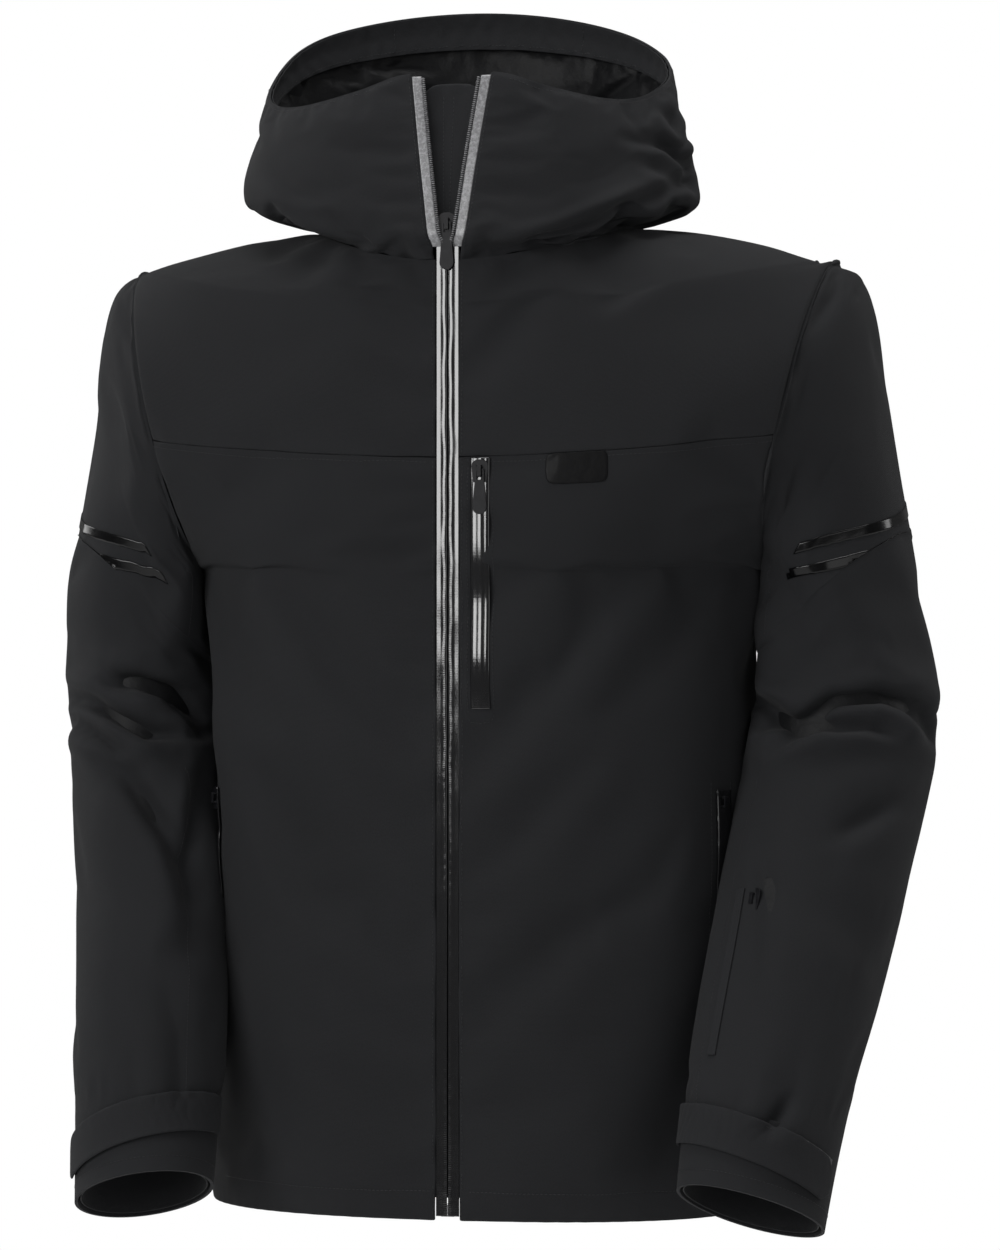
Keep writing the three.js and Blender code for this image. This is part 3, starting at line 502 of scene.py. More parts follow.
def ring(inner, outer, tilt, halfDepth, angle, depth):
    centre = (inner + outer) / 2
    across = (outer - inner) / 2
    length = np.linalg.norm(across, axis=-1, keepdims=True)
    forward = np.stack([np.zeros_like(tilt), -np.cos(tilt), np.sin(tilt)], -1)
    depth = np.asarray(depth)[..., None]
    return (centre + across / length * (length - depth) * np.cos(angle)[..., None]
            + forward * (halfDepth[..., None] - depth) * np.sin(angle)[..., None])


def upperAt(angle, share, depth=0.0):
    s = sleeveSize
    angle, share = np.broadcast_arrays(np.asarray(angle, float), np.asarray(share, float))
    elbowOuter = np.array([s["elbowOuter"], 0, s["elbowHeight"]])
    elbowInner = np.array([s["elbowInner"], 0, s["elbowHeight"]])
    b1 = tip + np.array([25.0, 0, -21.0])
    b2 = np.array([lerp(tip[0], s["elbowOuter"], 0.55), 0, lerp(tip[2], s["elbowHeight"], 0.38)])
    t = share[..., None]
    outer = tip * (1 - t)**3 + 3 * b1 * t * (1 - t)**2 + 3 * b2 * t * t * (1 - t) + elbowOuter * t**3
    bulge = s["shoulderBulge"] * smooth(share, 0, 0.18) * (1 - smooth(share, 0.3, 0.75))
    outer = outer + bulge[..., None] * np.array([1.0, 0, 0])
    inner = lerp(pit, elbowInner, t) - s["innerFill"] * np.sin(pi * t) * np.array([1.0, 0, 0])
    depthHere = lerp(bodySize["armholeHalfDepth"], s["elbowHalfDepth"], np.sqrt(share))
    return ring(inner, outer, s["elbowTilt"] * share, depthHere, angle, depth)


def foreAt(angle, share, depth=0.0):
    s = sleeveSize
    angle, share = np.broadcast_arrays(np.asarray(angle, float), np.asarray(share, float))
    y = -s["cuffForward"] * share
    z = lerp(s["elbowHeight"], s["cuffHeight"], share)
    inward = s["cuffInward"] * smooth(share, 0.05, 1.0)
    slope = s["cuffSlope"] * smooth(share, 0.45, 1.0)
    fill = s["innerFill"] * 1.4 * np.sin(pi * share)
    inner = np.stack([lerp(s["elbowInner"], s["cuffInner"], share) - inward - fill, y, z + slope], -1)
    outer = np.stack([lerp(s["elbowOuter"], s["cuffOuter"], share) - inward, y, z - slope], -1)
    tilt = lerp(s["elbowTilt"], s["cuffTilt"], smooth(share, 0, 0.35))
    return ring(inner, outer, tilt, lerp(s["elbowHalfDepth"], s["cuffHalfDepth"], share), angle, depth)


def sleeveAt(angle, run, depth=0.0):
    # run 0 at the armhole, 1 at the elbow, 2 at the cuff, rounded where the arm bends
    run = np.asarray(run, float)
    angle, run = np.broadcast_arrays(np.asarray(angle, float), run)
    depth = np.broadcast_to(np.asarray(depth, float), run.shape)
    bent = 0
    spread = 0.16 * smooth(run, 0.05, 0.5) * (1 - smooth(run, 1.6, 1.95))
    for offset, weight in ((-1, 0.25), (0, 0.5), (1, 0.25)):
        at = run + offset * spread
        upper = upperAt(angle, np.clip(at, 0, 1), depth)
        fore = foreAt(angle, np.clip(at - 1, 0, 1), depth)
        bent = bent + weight * np.where((at <= 1)[..., None], upper, fore)
    return bent


shoulderRise = {"lift": 1.0, "reach": 70.0}


def inFrame(points):
    # the padded shoulder stands a little proud of the seam's tip
    points = np.asarray(points, float)
    away = ((np.abs(points[..., 0:1]) - tip[0]) ** 2 + points[..., 1:2] ** 2
            + (points[..., 2:3] - tip[2]) ** 2)
    lift = shoulderRise["lift"] * np.exp(-away / shoulderRise["reach"] ** 2)
    up = np.concatenate([0.35 * np.sign(points[..., 0:1]), 0 * lift, 0.94 + 0 * lift], -1)
    return (points + up * lift + loopPlace) / 1000


def seenFromFront(points):
    # where points lie across and up, in millimetres, as the camera sees them
    offset = points - np.array(cameraSetup["aim"])
    far = cameraSetup["distance"] / (cameraSetup["distance"] + offset @ viewAhead)
    return np.stack([offset @ viewRight * far, offset[:, 2] * far], -1) * 1000


def pointsOf(piece):
    flat = np.empty(len(piece.data.vertices) * 3)
    piece.data.vertices.foreach_get("co", flat)
    return flat.reshape(-1, 3)


def setPoints(piece, points):
    piece.data.vertices.foreach_set("co", np.asarray(points, float).ravel())
    piece.data.update()


def clothGrid(name, columns, rows, place, inside=None, closed=False):
    # a cloth panel: place(u, v) gives its points in drawing millimetres, faces look away from inside
    bpy.ops.object.select_all(action="DESELECT")
    bpy.ops.mesh.primitive_grid_add(x_subdivisions=columns, y_subdivisions=rows, size=1)
    piece = bpy.context.object
    piece.name = piece.data.name = name
    piece.location = (0, 0, 0)
    uv = pointsOf(piece)[:, :2] + 0.5
    points = inFrame(place(uv[:, 0], uv[:, 1]))
    order = np.lexsort((uv[:, 0].round(5), uv[:, 1].round(5)))
    lattice = points[order].reshape(rows + 1, columns + 1, 3)
    wide = np.linalg.norm(np.diff(lattice, axis=1), axis=2).sum(1).max()
    long = np.linalg.norm(np.diff(lattice, axis=0), axis=2).sum(0).max()
    layer = piece.data.uv_layers[0]
    flat = np.empty(len(layer.data) * 2)
    layer.data.foreach_get("uv", flat)
    layer.data.foreach_set("uv", (flat.reshape(-1, 2) * (wide, long)).ravel())
    nearRow = np.minimum(uv[:, 1], 1 - uv[:, 1]) * long
    nearColumn = np.full(len(uv), 1.0) if closed else np.minimum(uv[:, 0], 1 - uv[:, 0]) * wide
    near = np.exp(-np.minimum(nearRow, nearColumn) / 0.006)
    attribute = piece.data.attributes.new("seamNear", "FLOAT", "POINT")
    attribute.data.foreach_set("value", near)
    setPoints(piece, points)
    mesh = bmesh.new()
    mesh.from_mesh(piece.data)
    if closed:
        bmesh.ops.remove_doubles(mesh, verts=mesh.verts, dist=1e-6)
    core = inside or (lambda p: np.stack([p[:, 0] * 0, p[:, 0] * 0 - 0.06, p[:, 2]], -1))
    centres = np.array([f.calc_center_median() for f in mesh.faces])
    normals = np.array([f.normal for f in mesh.faces])
    if ((centres - core(centres)) * normals).sum() < 0:
        bmesh.ops.reverse_faces(mesh, faces=mesh.faces)
    mesh.to_mesh(piece.data)
    mesh.free()
    piece["cutWide"], piece["cutLong"] = float(wide), float(long)
    return piece


def normalsOf(piece):
    flat = np.empty(len(piece.data.vertices) * 3)
    piece.data.vertices.foreach_get("normal", flat)
    return flat.reshape(-1, 3)


def pressFolds(points, normals, folds):
    # each fold: a line across and up as seen from the front, how deep it is pressed, how wide
    seen = seenFromFront(points)
    facing = smooth(-(normals @ viewAhead), 0.02, 0.35)
    moved = np.zeros(len(points))
    for line, deep, wide in folds:
        line = np.array(line, float)
        lengths = np.linalg.norm(np.diff(line, axis=0), axis=1)
        starts = np.concatenate([[0], np.cumsum(lengths)])
        best = np.full(len(points), 1e9)
        along = np.zeros(len(points))
        below = np.zeros(len(points))
        for k in range(len(line) - 1):
            step = (line[k + 1] - line[k]) / lengths[k]
            rel = seen - line[k]
            t = np.clip(rel @ step, 0, lengths[k])
            off = rel - t[:, None] * step
            gapHere = np.linalg.norm(off, axis=1)
            closer = gapHere < best
            best = np.where(closer, gapHere, best)
            along = np.where(closer, (starts[k] + t) / starts[-1], along)
            sideways = rel[:, 0] * step[1] - rel[:, 1] * step[0]
            below = np.where(closer, sideways, below)
        taper = np.sin(pi * np.clip(along * 0.92 + 0.04, 0, 1)) ** 0.6
        groove = -np.exp(-(best / wide) ** 2)
        ridge = 0.55 * np.exp(-((best - 1.9 * wide) / (1.1 * wide)) ** 2)
        moved += deep * taper * (groove + ridge) * np.where(below > 0, 1.0, 0.85)
    return points + normals * (moved * facing)[:, None] / 1000


def sharedPoints(sets):
    # the points of several pieces, with those that lie on each other counted once
    keys = np.round(np.vstack(sets) / 2e-5).astype(np.int64)
    found, shared = np.unique(keys, axis=0, return_inverse=True)
    return len(found), shared.ravel()


def pressTogether(pieces, folds):
    # folds run on over the seams between the pieces
    sets = [pointsOf(piece) for piece in pieces]
    count, shared = sharedPoints(sets)
    summed = np.zeros((count, 3))
    np.add.at(summed, shared, np.vstack([normalsOf(piece) for piece in pieces]))
    summed /= np.maximum(np.linalg.norm(summed, axis=1, keepdims=True), 1e-9)
    normals, start = summed[shared], 0
    merged = np.zeros((count, 3))
    merged[shared] = np.vstack(sets)
    pressed = pressFolds(merged[shared], normals, folds)
    for piece, points in zip(pieces, sets):
        setPoints(piece, pressed[start:start + len(points)])
        start += len(points)


clothRest = {"frames": 20, "quality": 6}


def settleTogether(pieces, heldAt, look):
    # the pieces are joined along their seams, the cloth fills out and settles, and each piece takes
    # its own points back
    sets = [pointsOf(piece) for piece in pieces]
    everything = np.vstack(sets)
    count, shared = sharedPoints(sets)
    merged = np.zeros((count, 3))
    merged[shared] = everything
    faces, start = [], 0
    for piece, points in zip(pieces, sets):
        loops = np.empty(len(piece.data.loops), np.int64)
        piece.data.loops.foreach_get("vertex_index", loops)
        faces.append(shared[loops.reshape(-1, 4) + start])
        start += len(points)
    faces = np.vstack(faces)
    mesh = bpy.data.meshes.new("settling")
    mesh.from_pydata(merged.tolist(), [], faces.tolist())
    settling = bpy.data.objects.new("settling", mesh)
    bpy.context.scene.collection.objects.link(settling)
    held = settling.vertex_groups.new(name="held")
    weights = np.clip(heldAt(merged), 0, 1)
    for weight in np.unique(weights.round(2)):
        if weight > 0:
            held.add(np.flatnonzero(weights.round(2) == weight).tolist(), float(weight), "REPLACE")
    cloth = settling.modifiers.new("settle", "CLOTH")
    cloth.settings.quality = clothRest["quality"]
    cloth.settings.mass = 0.25
    cloth.settings.tension_stiffness = look.get("stretch", 18)
    cloth.settings.compression_stiffness = look.get("stretch", 18)
    cloth.settings.shear_stiffness = look.get("shear", 6)
    cloth.settings.bending_stiffness = look["bend"]
    cloth.settings.tension_damping = 8
    cloth.settings.compression_damping = 8
    cloth.settings.shear_damping = 8
    cloth.settings.bending_damping = 1.0
    cloth.settings.air_damping = 3
    cloth.settings.use_pressure = True
    cloth.settings.uniform_pressure_force = look["pressure"]
    cloth.settings.vertex_group_mass = "held"
    cloth.settings.pin_stiffness = 1.0
    cloth.settings.shrink_min = -look["slack"]
    cloth.settings.effector_weights.gravity = look.get("gravity", 0.0)
    cloth.collision_settings.use_collision = False
    cloth.point_cache.frame_start = 1
    cloth.point_cache.frame_end = clothRest["frames"]
    scene = bpy.context.scene
    for number in range(1, clothRest["frames"] + 1):
        scene.frame_set(number)
    evaluated = settling.evaluated_get(bpy.context.evaluated_depsgraph_get())
    flat = np.empty(len(merged) * 3)
    evaluated.data.vertices.foreach_get("co", flat)
    shift = flat.reshape(-1, 3) - merged
    far = np.linalg.norm(shift, axis=1, keepdims=True)
    cap = look["cap"]
    shift = shift * np.where(far > 1e-9, cap * np.tanh(far / cap) / np.maximum(far, 1e-9), 1)
    settled = merged + shift
    bpy.data.objects.remove(settling)
    bpy.data.meshes.remove(mesh)
    scene.frame_set(1)
    start = 0
    for piece, points in zip(pieces, sets):
        setPoints(piece, settled[shared[start:start + len(points)]])
        start += len(points)


def applyModifiers(piece):
    bpy.ops.object.select_all(action="DESELECT")
    piece.select_set(True)
    bpy.context.view_layer.objects.active = piece
    for modifier in list(piece.modifiers):
        bpy.ops.object.modifier_apply(modifier=modifier.name)


def finishCloth(piece, material, wall, rounds=1, crisp=False):
    # gives the cloth its thickness on the inner side and rounds it off
    if wall:
        thick = piece.modifiers.new("thickness", "SOLIDIFY")
        thick.thickness = wall / 1000
        thick.offset = -1
        thick.use_even_offset = False
        if crisp:
            thick.edge_crease_inner = thick.edge_crease_outer = thick.edge_crease_rim = 1.0
    if rounds:
        fine = piece.modifiers.new("fine", "SUBSURF")
        fine.levels = fine.render_levels = rounds
    applyModifiers(piece)
    piece.data.polygons.foreach_set("use_smooth", np.ones(len(piece.data.polygons), bool))
    if crisp:
        bpy.ops.object.shade_smooth_by_angle(angle=math.radians(65))
    piece.data.materials.clear()
    piece.data.materials.append(material)
    return piece


def surfaceOf(piece):
    return BVHTree.FromObject(piece, bpy.context.evaluated_depsgraph_get())


def layOn(tree, points, lift):
    # moves points, in frame metres, onto a settled cloth and lifts them off it
    lift = np.broadcast_to(lift, (len(points),))
    laid, normals = [], []
    for point, up in zip(points, lift):
        place, normal, _, _ = tree.find_nearest(Vector(point))
        laid.append(np.array(place) + np.array(normal) * up)
        normals.append(np.array(normal))
    return np.array(laid), np.array(normals)


def smoothNormals(normals, rounds=2):
    for _ in range(rounds):
        padded = np.vstack([normals[:1], normals, normals[-1:]])
        normals = padded[:-2] + 2 * padded[1:-1] + padded[2:]
        normals /= np.linalg.norm(normals, axis=1, keepdims=True)
    return normals


# one stitch, modelled once and copied along every seam
bpy.ops.object.select_all(action="DESELECT")
bpy.ops.mesh.primitive_uv_sphere_add(segments=6, ring_count=4, radius=1)
stitchModel = bpy.context.object
stitchPoints = pointsOf(stitchModel)[:, [2, 0, 1]]
stitchFaces = [list(face.vertices) for face in stitchModel.data.polygons]
bpy.data.objects.remove(stitchModel)


def stitchRow(name, path, normals, pitch=3.0, thick=0.32, length=2.3):
    # stitches along a path in frame metres
    path, normals = np.asarray(path), smoothNormals(np.asarray(normals))
    lengths = np.concatenate([[0], np.cumsum(np.linalg.norm(np.diff(path, axis=0), axis=1))])
    count = max(2, int(lengths[-1] / (pitch / 1000)))
    at = (np.arange(count) + 0.5) / count * lengths[-1]
    spot = np.stack([np.interp(at, lengths, path[:, k]) for k in range(3)], -1)
    ahead = np.stack([np.interp(at + 1e-4, lengths, path[:, k]) for k in range(3)], -1)
    behind = np.stack([np.interp(at - 1e-4, lengths, path[:, k]) for k in range(3)], -1)
    up = np.stack([np.interp(at, lengths, normals[:, k]) for k in range(3)], -1)
    run = ahead - behind
    run /= np.maximum(np.linalg.norm(run, axis=1, keepdims=True), 1e-9)
    up -= run * (up * run).sum(1, keepdims=True)
    up /= np.linalg.norm(up, axis=1, keepdims=True)
    side = np.cross(up, run)
    size = np.array([length / 2, thick / 2 * 1.15, thick / 2]) / 1000
    shaped = stitchPoints * size
    points = (spot[:, None] + shaped[None, :, 0:1] * run[:, None] + shaped[None, :, 1:2] * side[:, None]
              + shaped[None, :, 2:3] * up[:, None])
    faces = [[index + k * len(stitchPoints) for index in face]
             for k in range(count) for face in stitchFaces]
    mesh = bpy.data.meshes.new(name)
    mesh.from_pydata(points.reshape(-1, 3).tolist(), [], faces)
    piece = bpy.data.objects.new(name, mesh)
    bpy.context.scene.collection.objects.link(piece)
    mesh.polygons.foreach_set("use_smooth", np.ones(len(mesh.polygons), bool))
    mesh.materials.append(seamThread)
    return piece


def stitchOn(name, tree, drawn, lift=0.12, pitch=3.0, thick=0.32, length=2.3):
    laid, normals = layOn(tree, inFrame(np.asarray(drawn)), lift / 1000)
    return stitchRow(name, laid, normals, pitch, thick, length)


def nearLine(points, line, reach=0.8):
    # 1 for points, in frame metres, on a drawn line
    line = inFrame(np.asarray(line))
    near = np.full(len(points), 9.0)
    for k in range(0, len(points), 2000):
        gaps = np.linalg.norm(points[k:k + 2000, None] - line[None], axis=2)
        near[k:k + 2000] = gaps.min(1)
    return (near < reach / 1000).astype(float)


sides = (("left", 1), ("right", -1))


# how far the outer edges of both sleeves swing to the same side, by height
swing = {"heights": [9, 100, 173, 246, 355, 400, 445], "across": [2.5, 4.5, 9, 9.5, 8.5, 5, 0]}


def mirrored(points, side):
    points = points.copy()
    outer = smooth(points[:, 0], 205, 300) * (points[:, 2] < swing["heights"][-1])
    points[:, 0] *= side
    points[:, 0] += outer * through(points[:, 2], swing["heights"], swing["across"])
    return points


def tightEnds(t, count, first=0.22):
    # the rows beside a seam lie closer together, so that its edge is crisp
    knots = np.arange(count + 1) / count
    inner = (np.arange(count + 1) - 1 + first) / (count - 2 + 2 * first)
    inner[0], inner[-1] = 0, 1
    return np.interp(t, knots, inner)


# front and back panels, yokes
panelWork = {"frontColumns": 44, "backColumns": 84, "lowerRows": 78, "yokeRows": 44, "wall": 2.4}
yokeRise = bodySize["yokeRise"]


def evenRise(rise):
    # rows keep a more even height where the armhole begins, the same for every panel
    t = np.clip(np.asarray(rise, float) - 1, 0, 1)
    even = 1.5 + np.arcsin(2 * t - 1) / pi
    return np.where((rise > 1) & (rise < 2), lerp(rise, even, 0.55), rise)


def panelPlace(side, low, high, columns, rows):
    flat = np.linspace(0.0, 3.0, 6001)
    lowFlat, highFlat = np.interp([low, high], evenRise(flat), flat)

    def place(u, v):
        rise = evenRise(lerp(lowFlat, highFlat, tightEnds(v, rows)))
        across = tightEnds(u, columns)
        if side == 0:
            return bodyAt(1 + 2 * across, rise)
        around = lerp(aroundAt(np.full_like(rise, bodySize["zipOpening"]), rise), 1, across)
        return bodyAt(around if side > 0 else 4 - around, rise)
    return place


torso = {}
for name, side in sides:
    torso["front_panel_" + name] = clothGrid(
        "frontPanel_" + name, panelWork["frontColumns"], panelWork["lowerRows"],
        panelPlace(side, 0, yokeRise, panelWork["frontColumns"], panelWork["lowerRows"]))
    torso["front_yoke_" + name] = clothGrid(
        "frontYoke_" + name, panelWork["frontColumns"], panelWork["yokeRows"],
        panelPlace(side, yokeRise, 3, panelWork["frontColumns"], panelWork["yokeRows"]))
torso["back_panel"] = clothGrid(
    "backPanel", panelWork["backColumns"], panelWork["lowerRows"],
    panelPlace(0, 0, yokeRise, panelWork["backColumns"], panelWork["lowerRows"]))
torso["back_yoke"] = clothGrid(
    "backYoke", panelWork["backColumns"], panelWork["yokeRows"],
    panelPlace(0, yokeRise, 3, panelWork["backColumns"], panelWork["yokeRows"]))

# soft drapes pressed in before the cloth settles: line, depth, half width
torsoFolds = [
    ([(-236, 95), (-226, 20), (-222, -60)], 5.0, 16),
    ([(-212, -120), (-205, -250), (-200, -390)], 4.0, 22),
    ([(-150, 130), (-215, 75)], 2.5, 20),
    ([(120, 60), (168, -40), (160, -150)], 3.5, 24),
    ([(165, 120), (120, 70), (90, 0)], 2.2, 22),
    ([(150, -200), (158, -300), (150, -400)], 4.0, 22),
    ([(-60, -40), (-90, -200), (-80, -360)], 1.6, 34),
    ([(60, -60), (70, -220), (95, -380)], 1.8, 32),
    ([(-190, 190), (-120, 215), (-60, 235)], 2.2, 20),
    ([(200, 215), (130, 222), (70, 238)], 2.2, 20)]
pressTogether(list(torso.values()), torsoFolds)

armholeTurn = np.linspace(0, 2 * pi, 721)
armholeLine = upperAt(armholeTurn, np.zeros(721))
neckTurn = np.linspace(0, 4, 961)
neckLine = bodyOuter(neckTurn, np.full(961, 3.0))
hemLine = bodyOuter(neckTurn, np.zeros(961))
zipFace = -131.8
zipLine = np.stack([np.full(1401, bodySize["zipOpening"]), np.full(1401, zipFace),
                    np.linspace(0, bodySize["neckFront"], 1401)], -1)


def heldTorso(points):
    held = nearLine(points, neckLine, 2.0)
    for side in (1, -1):
        held = np.maximum(held, nearLine(points, mirrored(armholeLine, side), 2.0))
        held = np.maximum(held, nearLine(points, mirrored(zipLine, side), 1.5))
    return np.maximum(held, nearLine(points, hemLine, 2.5) * 0.9)


settleTogether(list(torso.values()), heldTorso,
               {"pressure": 1.2, "slack": 0.016, "bend": 3.0, "cap": 0.009})
torsoTrees = {name: surfaceOf(torso["front_panel_" + name]) for name, _ in sides}
yokeTrees = {name: surfaceOf(torso["front_yoke_" + name]) for name, _ in sides}
for node, piece in torso.items():
    finishCloth(piece, shellCloth, panelWork["wall"])
    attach(piece, "jacket_body")
    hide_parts(node)
print("panels and yokes done")


# sleeves, with folds pressed in before the cloth settles and creases after
sleeveWork = {"columns": 96, "upperRows": 48, "lowerRows": 90, "join": 0.78, "wall": 2.2}
sleeveFolds = {
    "right": [
        ([(-284, -44), (-262, -42), (-242, -50), (-217, -76)], 11.0, 10),
        ([(-318, -52), (-290, -66), (-262, -78), (-246, -80)], 12.0, 8),
        ([(-312, -70), (-292, -84), (-276, -93)], 9.0, 7),
        ([(-278, -108), (-258, -130), (-238, -160), (-226, -196)], 9.0, 11),
        ([(-214, -118), (-222, -158), (-225, -240)], 7.0, 10),
        ([(-300, 60), (-262, 20), (-238, -20)], 4.0, 18),
        ([(-290, 130), (-262, 60), (-250, 10)], 3.5, 16),
        ([(-300, -180), (-268, -240), (-250, -300)], 3.5, 18),
        ([(-245, -250), (-232, -300), (-228, -350)], 4.0, 12)],
    "left": [
        ([(182, -72), (200, -74), (216, -72), (242, -58), (274, -52), (304, -62)], 12.0, 10),
        ([(296, -58), (310, -72), (316, -86)], 10.0, 8),
        ([(186, -58), (200, -66), (214, -68)], 11.0, 8),
        ([(196, -90), (230, -76), (266, -73), (284, -76)], 9.0, 8),
        ([(206, 40), (226, 0), (246, -30)], 4.5, 16),
        ([(240, -156), (264, -142), (290, -126)], 5.0, 12),
        ([(196, 150), (204, 80), (200, 20)], 5.0, 14),
        ([(210, -346), (200, -362), (192, -372)], 5.0, 9),
        ([(225, -200), (250, -220), (275, -250)], 3.5, 16)]}
sleeveCreases = {
    "right": [
        ([(-281, -40), (-262, -42), (-240, -48), (-219, -69)], 8.0, 4.6),
        ([(-316, -51), (-297, -55), (-283, -65), (-257, -79), (-217, -80)], 7.0, 4.4),
        ([(-312, -67), (-293, -79), (-276, -92)], 5.0, 4.2),
        ([(-276, -106), (-259, -128), (-240, -156), (-233, -181)], 4.5, 6.0),
        ([(-214, -96), (-222, -130), (-226, -176)], 3.5, 5.0),
        ([(-300, -92), (-280, -104), (-262, -108)], 2.5, 5.0)],
    "left": [
        ([(182, -73), (216, -73), (244, -56), (277, -52), (306, -62), (315, -82)], 9.0, 4.8),
        ([(196, -89), (233, -74), (269, -73), (290, -78)], 6.0, 4.6),
        ([(184, -54), (200, -61), (215, -71)], 6.0, 4.8),
        ([(244, -36), (268, -30), (296, -38)], 2.5, 6.0),
        ([(244, -156), (266, -142), (288, -127)], 3.0, 6.0),
        ([(194, -370), (204, -356), (212, -345)], 4.0, 4.6),
        ([(188, -150), (196, -200), (193, -260)], 2.5, 7.0)]}


def sleeveInside(points):
    # the middle of the sleeve at each point's height
    s = sleeveSize
    p = points * 1000 - loopPlace
    elbow, length = s["elbowHeight"], s["elbowHeight"] - s["cuffHeight"]
    down = np.clip((elbow - p[:, 2]) / length, 0, 1)
    centreX = np.where(p[:, 2] > elbow, lerp(231, 266, smooth(p[:, 2], 600, elbow)), lerp(266, 228, down))
    return inFrame(np.stack([np.sign(p[:, 0]) * centreX, -s["cuffForward"] * down, p[:, 2]], -1))


def sleevePlace(side, low, high, rows, depth=0.0, dense=1.0):
    def place(u, v):
        run = lerp(low, high, tightEnds(v, rows) ** dense)
        return mirrored(sleeveAt(pi + 2 * pi * u, run, depth), side)
    return place


sleeves = {}
for name, side in sides:
    upper = clothGrid("upperSleeve_" + name, sleeveWork["columns"], sleeveWork["upperRows"],
                      sleevePlace(side, 0, sleeveWork["join"], sleeveWork["upperRows"], 0.0, 1.35),
                      sleeveInside, closed=True)
    lower = clothGrid("lowerSleeve_" + name, sleeveWork["columns"], sleeveWork["lowerRows"],
                      sleevePlace(side, sleeveWork["join"], 2, sleeveWork["lowerRows"]),
                      sleeveInside, closed=True)
    pressTogether([upper, lower], sleeveFolds[name])

    def heldSleeve(points, side=side):
        p = points * 1000 - loopPlace
        cuff = smooth(p[:, 2], 96, 62)
        held = nearLine(points, mirrored(armholeLine, side), 2.0)
        return np.maximum(held, cuff)

    settleTogether([upper, lower], heldSleeve,
                   {"pressure": 0.9, "slack": 0.028, "bend": 1.6, "cap": 0.008})
    pressTogether([upper, lower], sleeveCreases[name])
    sleeves[name] = {"upper": upper, "lower": lower,
                     "upperTree": surfaceOf(upper), "lowerTree": surfaceOf(lower)}


def shoulderBlend(piece, side, reach=16.0):
    start = (tip + pit) / 2 * (side, 1, 1)
    inFrame(start)
    inFrame(start + armholeOut * (side, 1, 1) * reach)
    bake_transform(piece)


def elbowBlend(piece, side, before=52.0, after=58.0):
    centre = np.array([266.0 * side, 0, sleeveSize["elbowHeight"]])
    ahead = np.array([0, -0.22, -0.975])
    inFrame(centre - ahead * before)
    inFrame(centre + ahead * after)
    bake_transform(piece)


for name, side in sides:
    upper, lower = sleeves[name]["upper"], sleeves[name]["lower"]
    for piece, node in ((upper, "upper_sleeve_"), (lower, "forearm_")):
        finishCloth(piece, shellCloth, sleeveWork["wall"], crisp=True)
        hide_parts(node + name)
    shoulderBlend(upper, side)
    elbowBlend(lower, side)

    # linings inside the sleeves
    for part, low, high, node, rows in (("upper", 0.02, 0.76, "sleeve_lining_", 20),
                                        ("lower", 0.765, 1.86, "forearm_lining_", 40)):
        lining = clothGrid(part + "SleeveLining_" + name, 44, rows,
                           sleevePlace(side, low, high, rows, 11.0), sleeveInside, closed=True)
        finishCloth(lining, liningSatin, 0.6)
        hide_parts(node + name)
        if part == "upper":
            shoulderBlend(lining, side, 15.0)
        else:
            elbowBlend(lining, side)
    facing = clothGrid("cuffFacing_" + name, 60, 8, sleevePlace(side, 1.86, 1.996, 8, 4.0),
                       sleeveInside, closed=True)
    finishCloth(facing, facingCloth, 1.2)
    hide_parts("cuff_facing_" + name)
    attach(facing, "lower_arm_" + name)
print("sleeves done")


# things laid on the sleeves: stripes, cuff tabs, patches, lift-pass zip
facet = pi / 12
foreLength = math.hypot(sleeveSize["cuffForward"], sleeveSize["elbowHeight"] - sleeveSize["cuffHeight"])
# each stripe runs from the back of the sleeve, over its outer side, to a point on its front
stripeWork = {"upper": (503.0, 470.0, 104), "lower": (484.0, 450.0, 118), "back": -30, "height": 8.4,
              "lift": 0.6, "wall": 0.35}
tabWork = {"low": 0.835, "slope": 0.055, "height": 30.0, "lift": 3.4, "wall": 2.0}


def laidGrid(name, columns, rows, place, tree, lift, material, wall, rounds=0):
    piece = clothGrid(name, columns, rows, place, sleeveInside)
    laid, _ = layOn(tree, pointsOf(piece), lift / 1000)
    setPoints(piece, laid)
    return finishCloth(piece, material, wall, rounds)


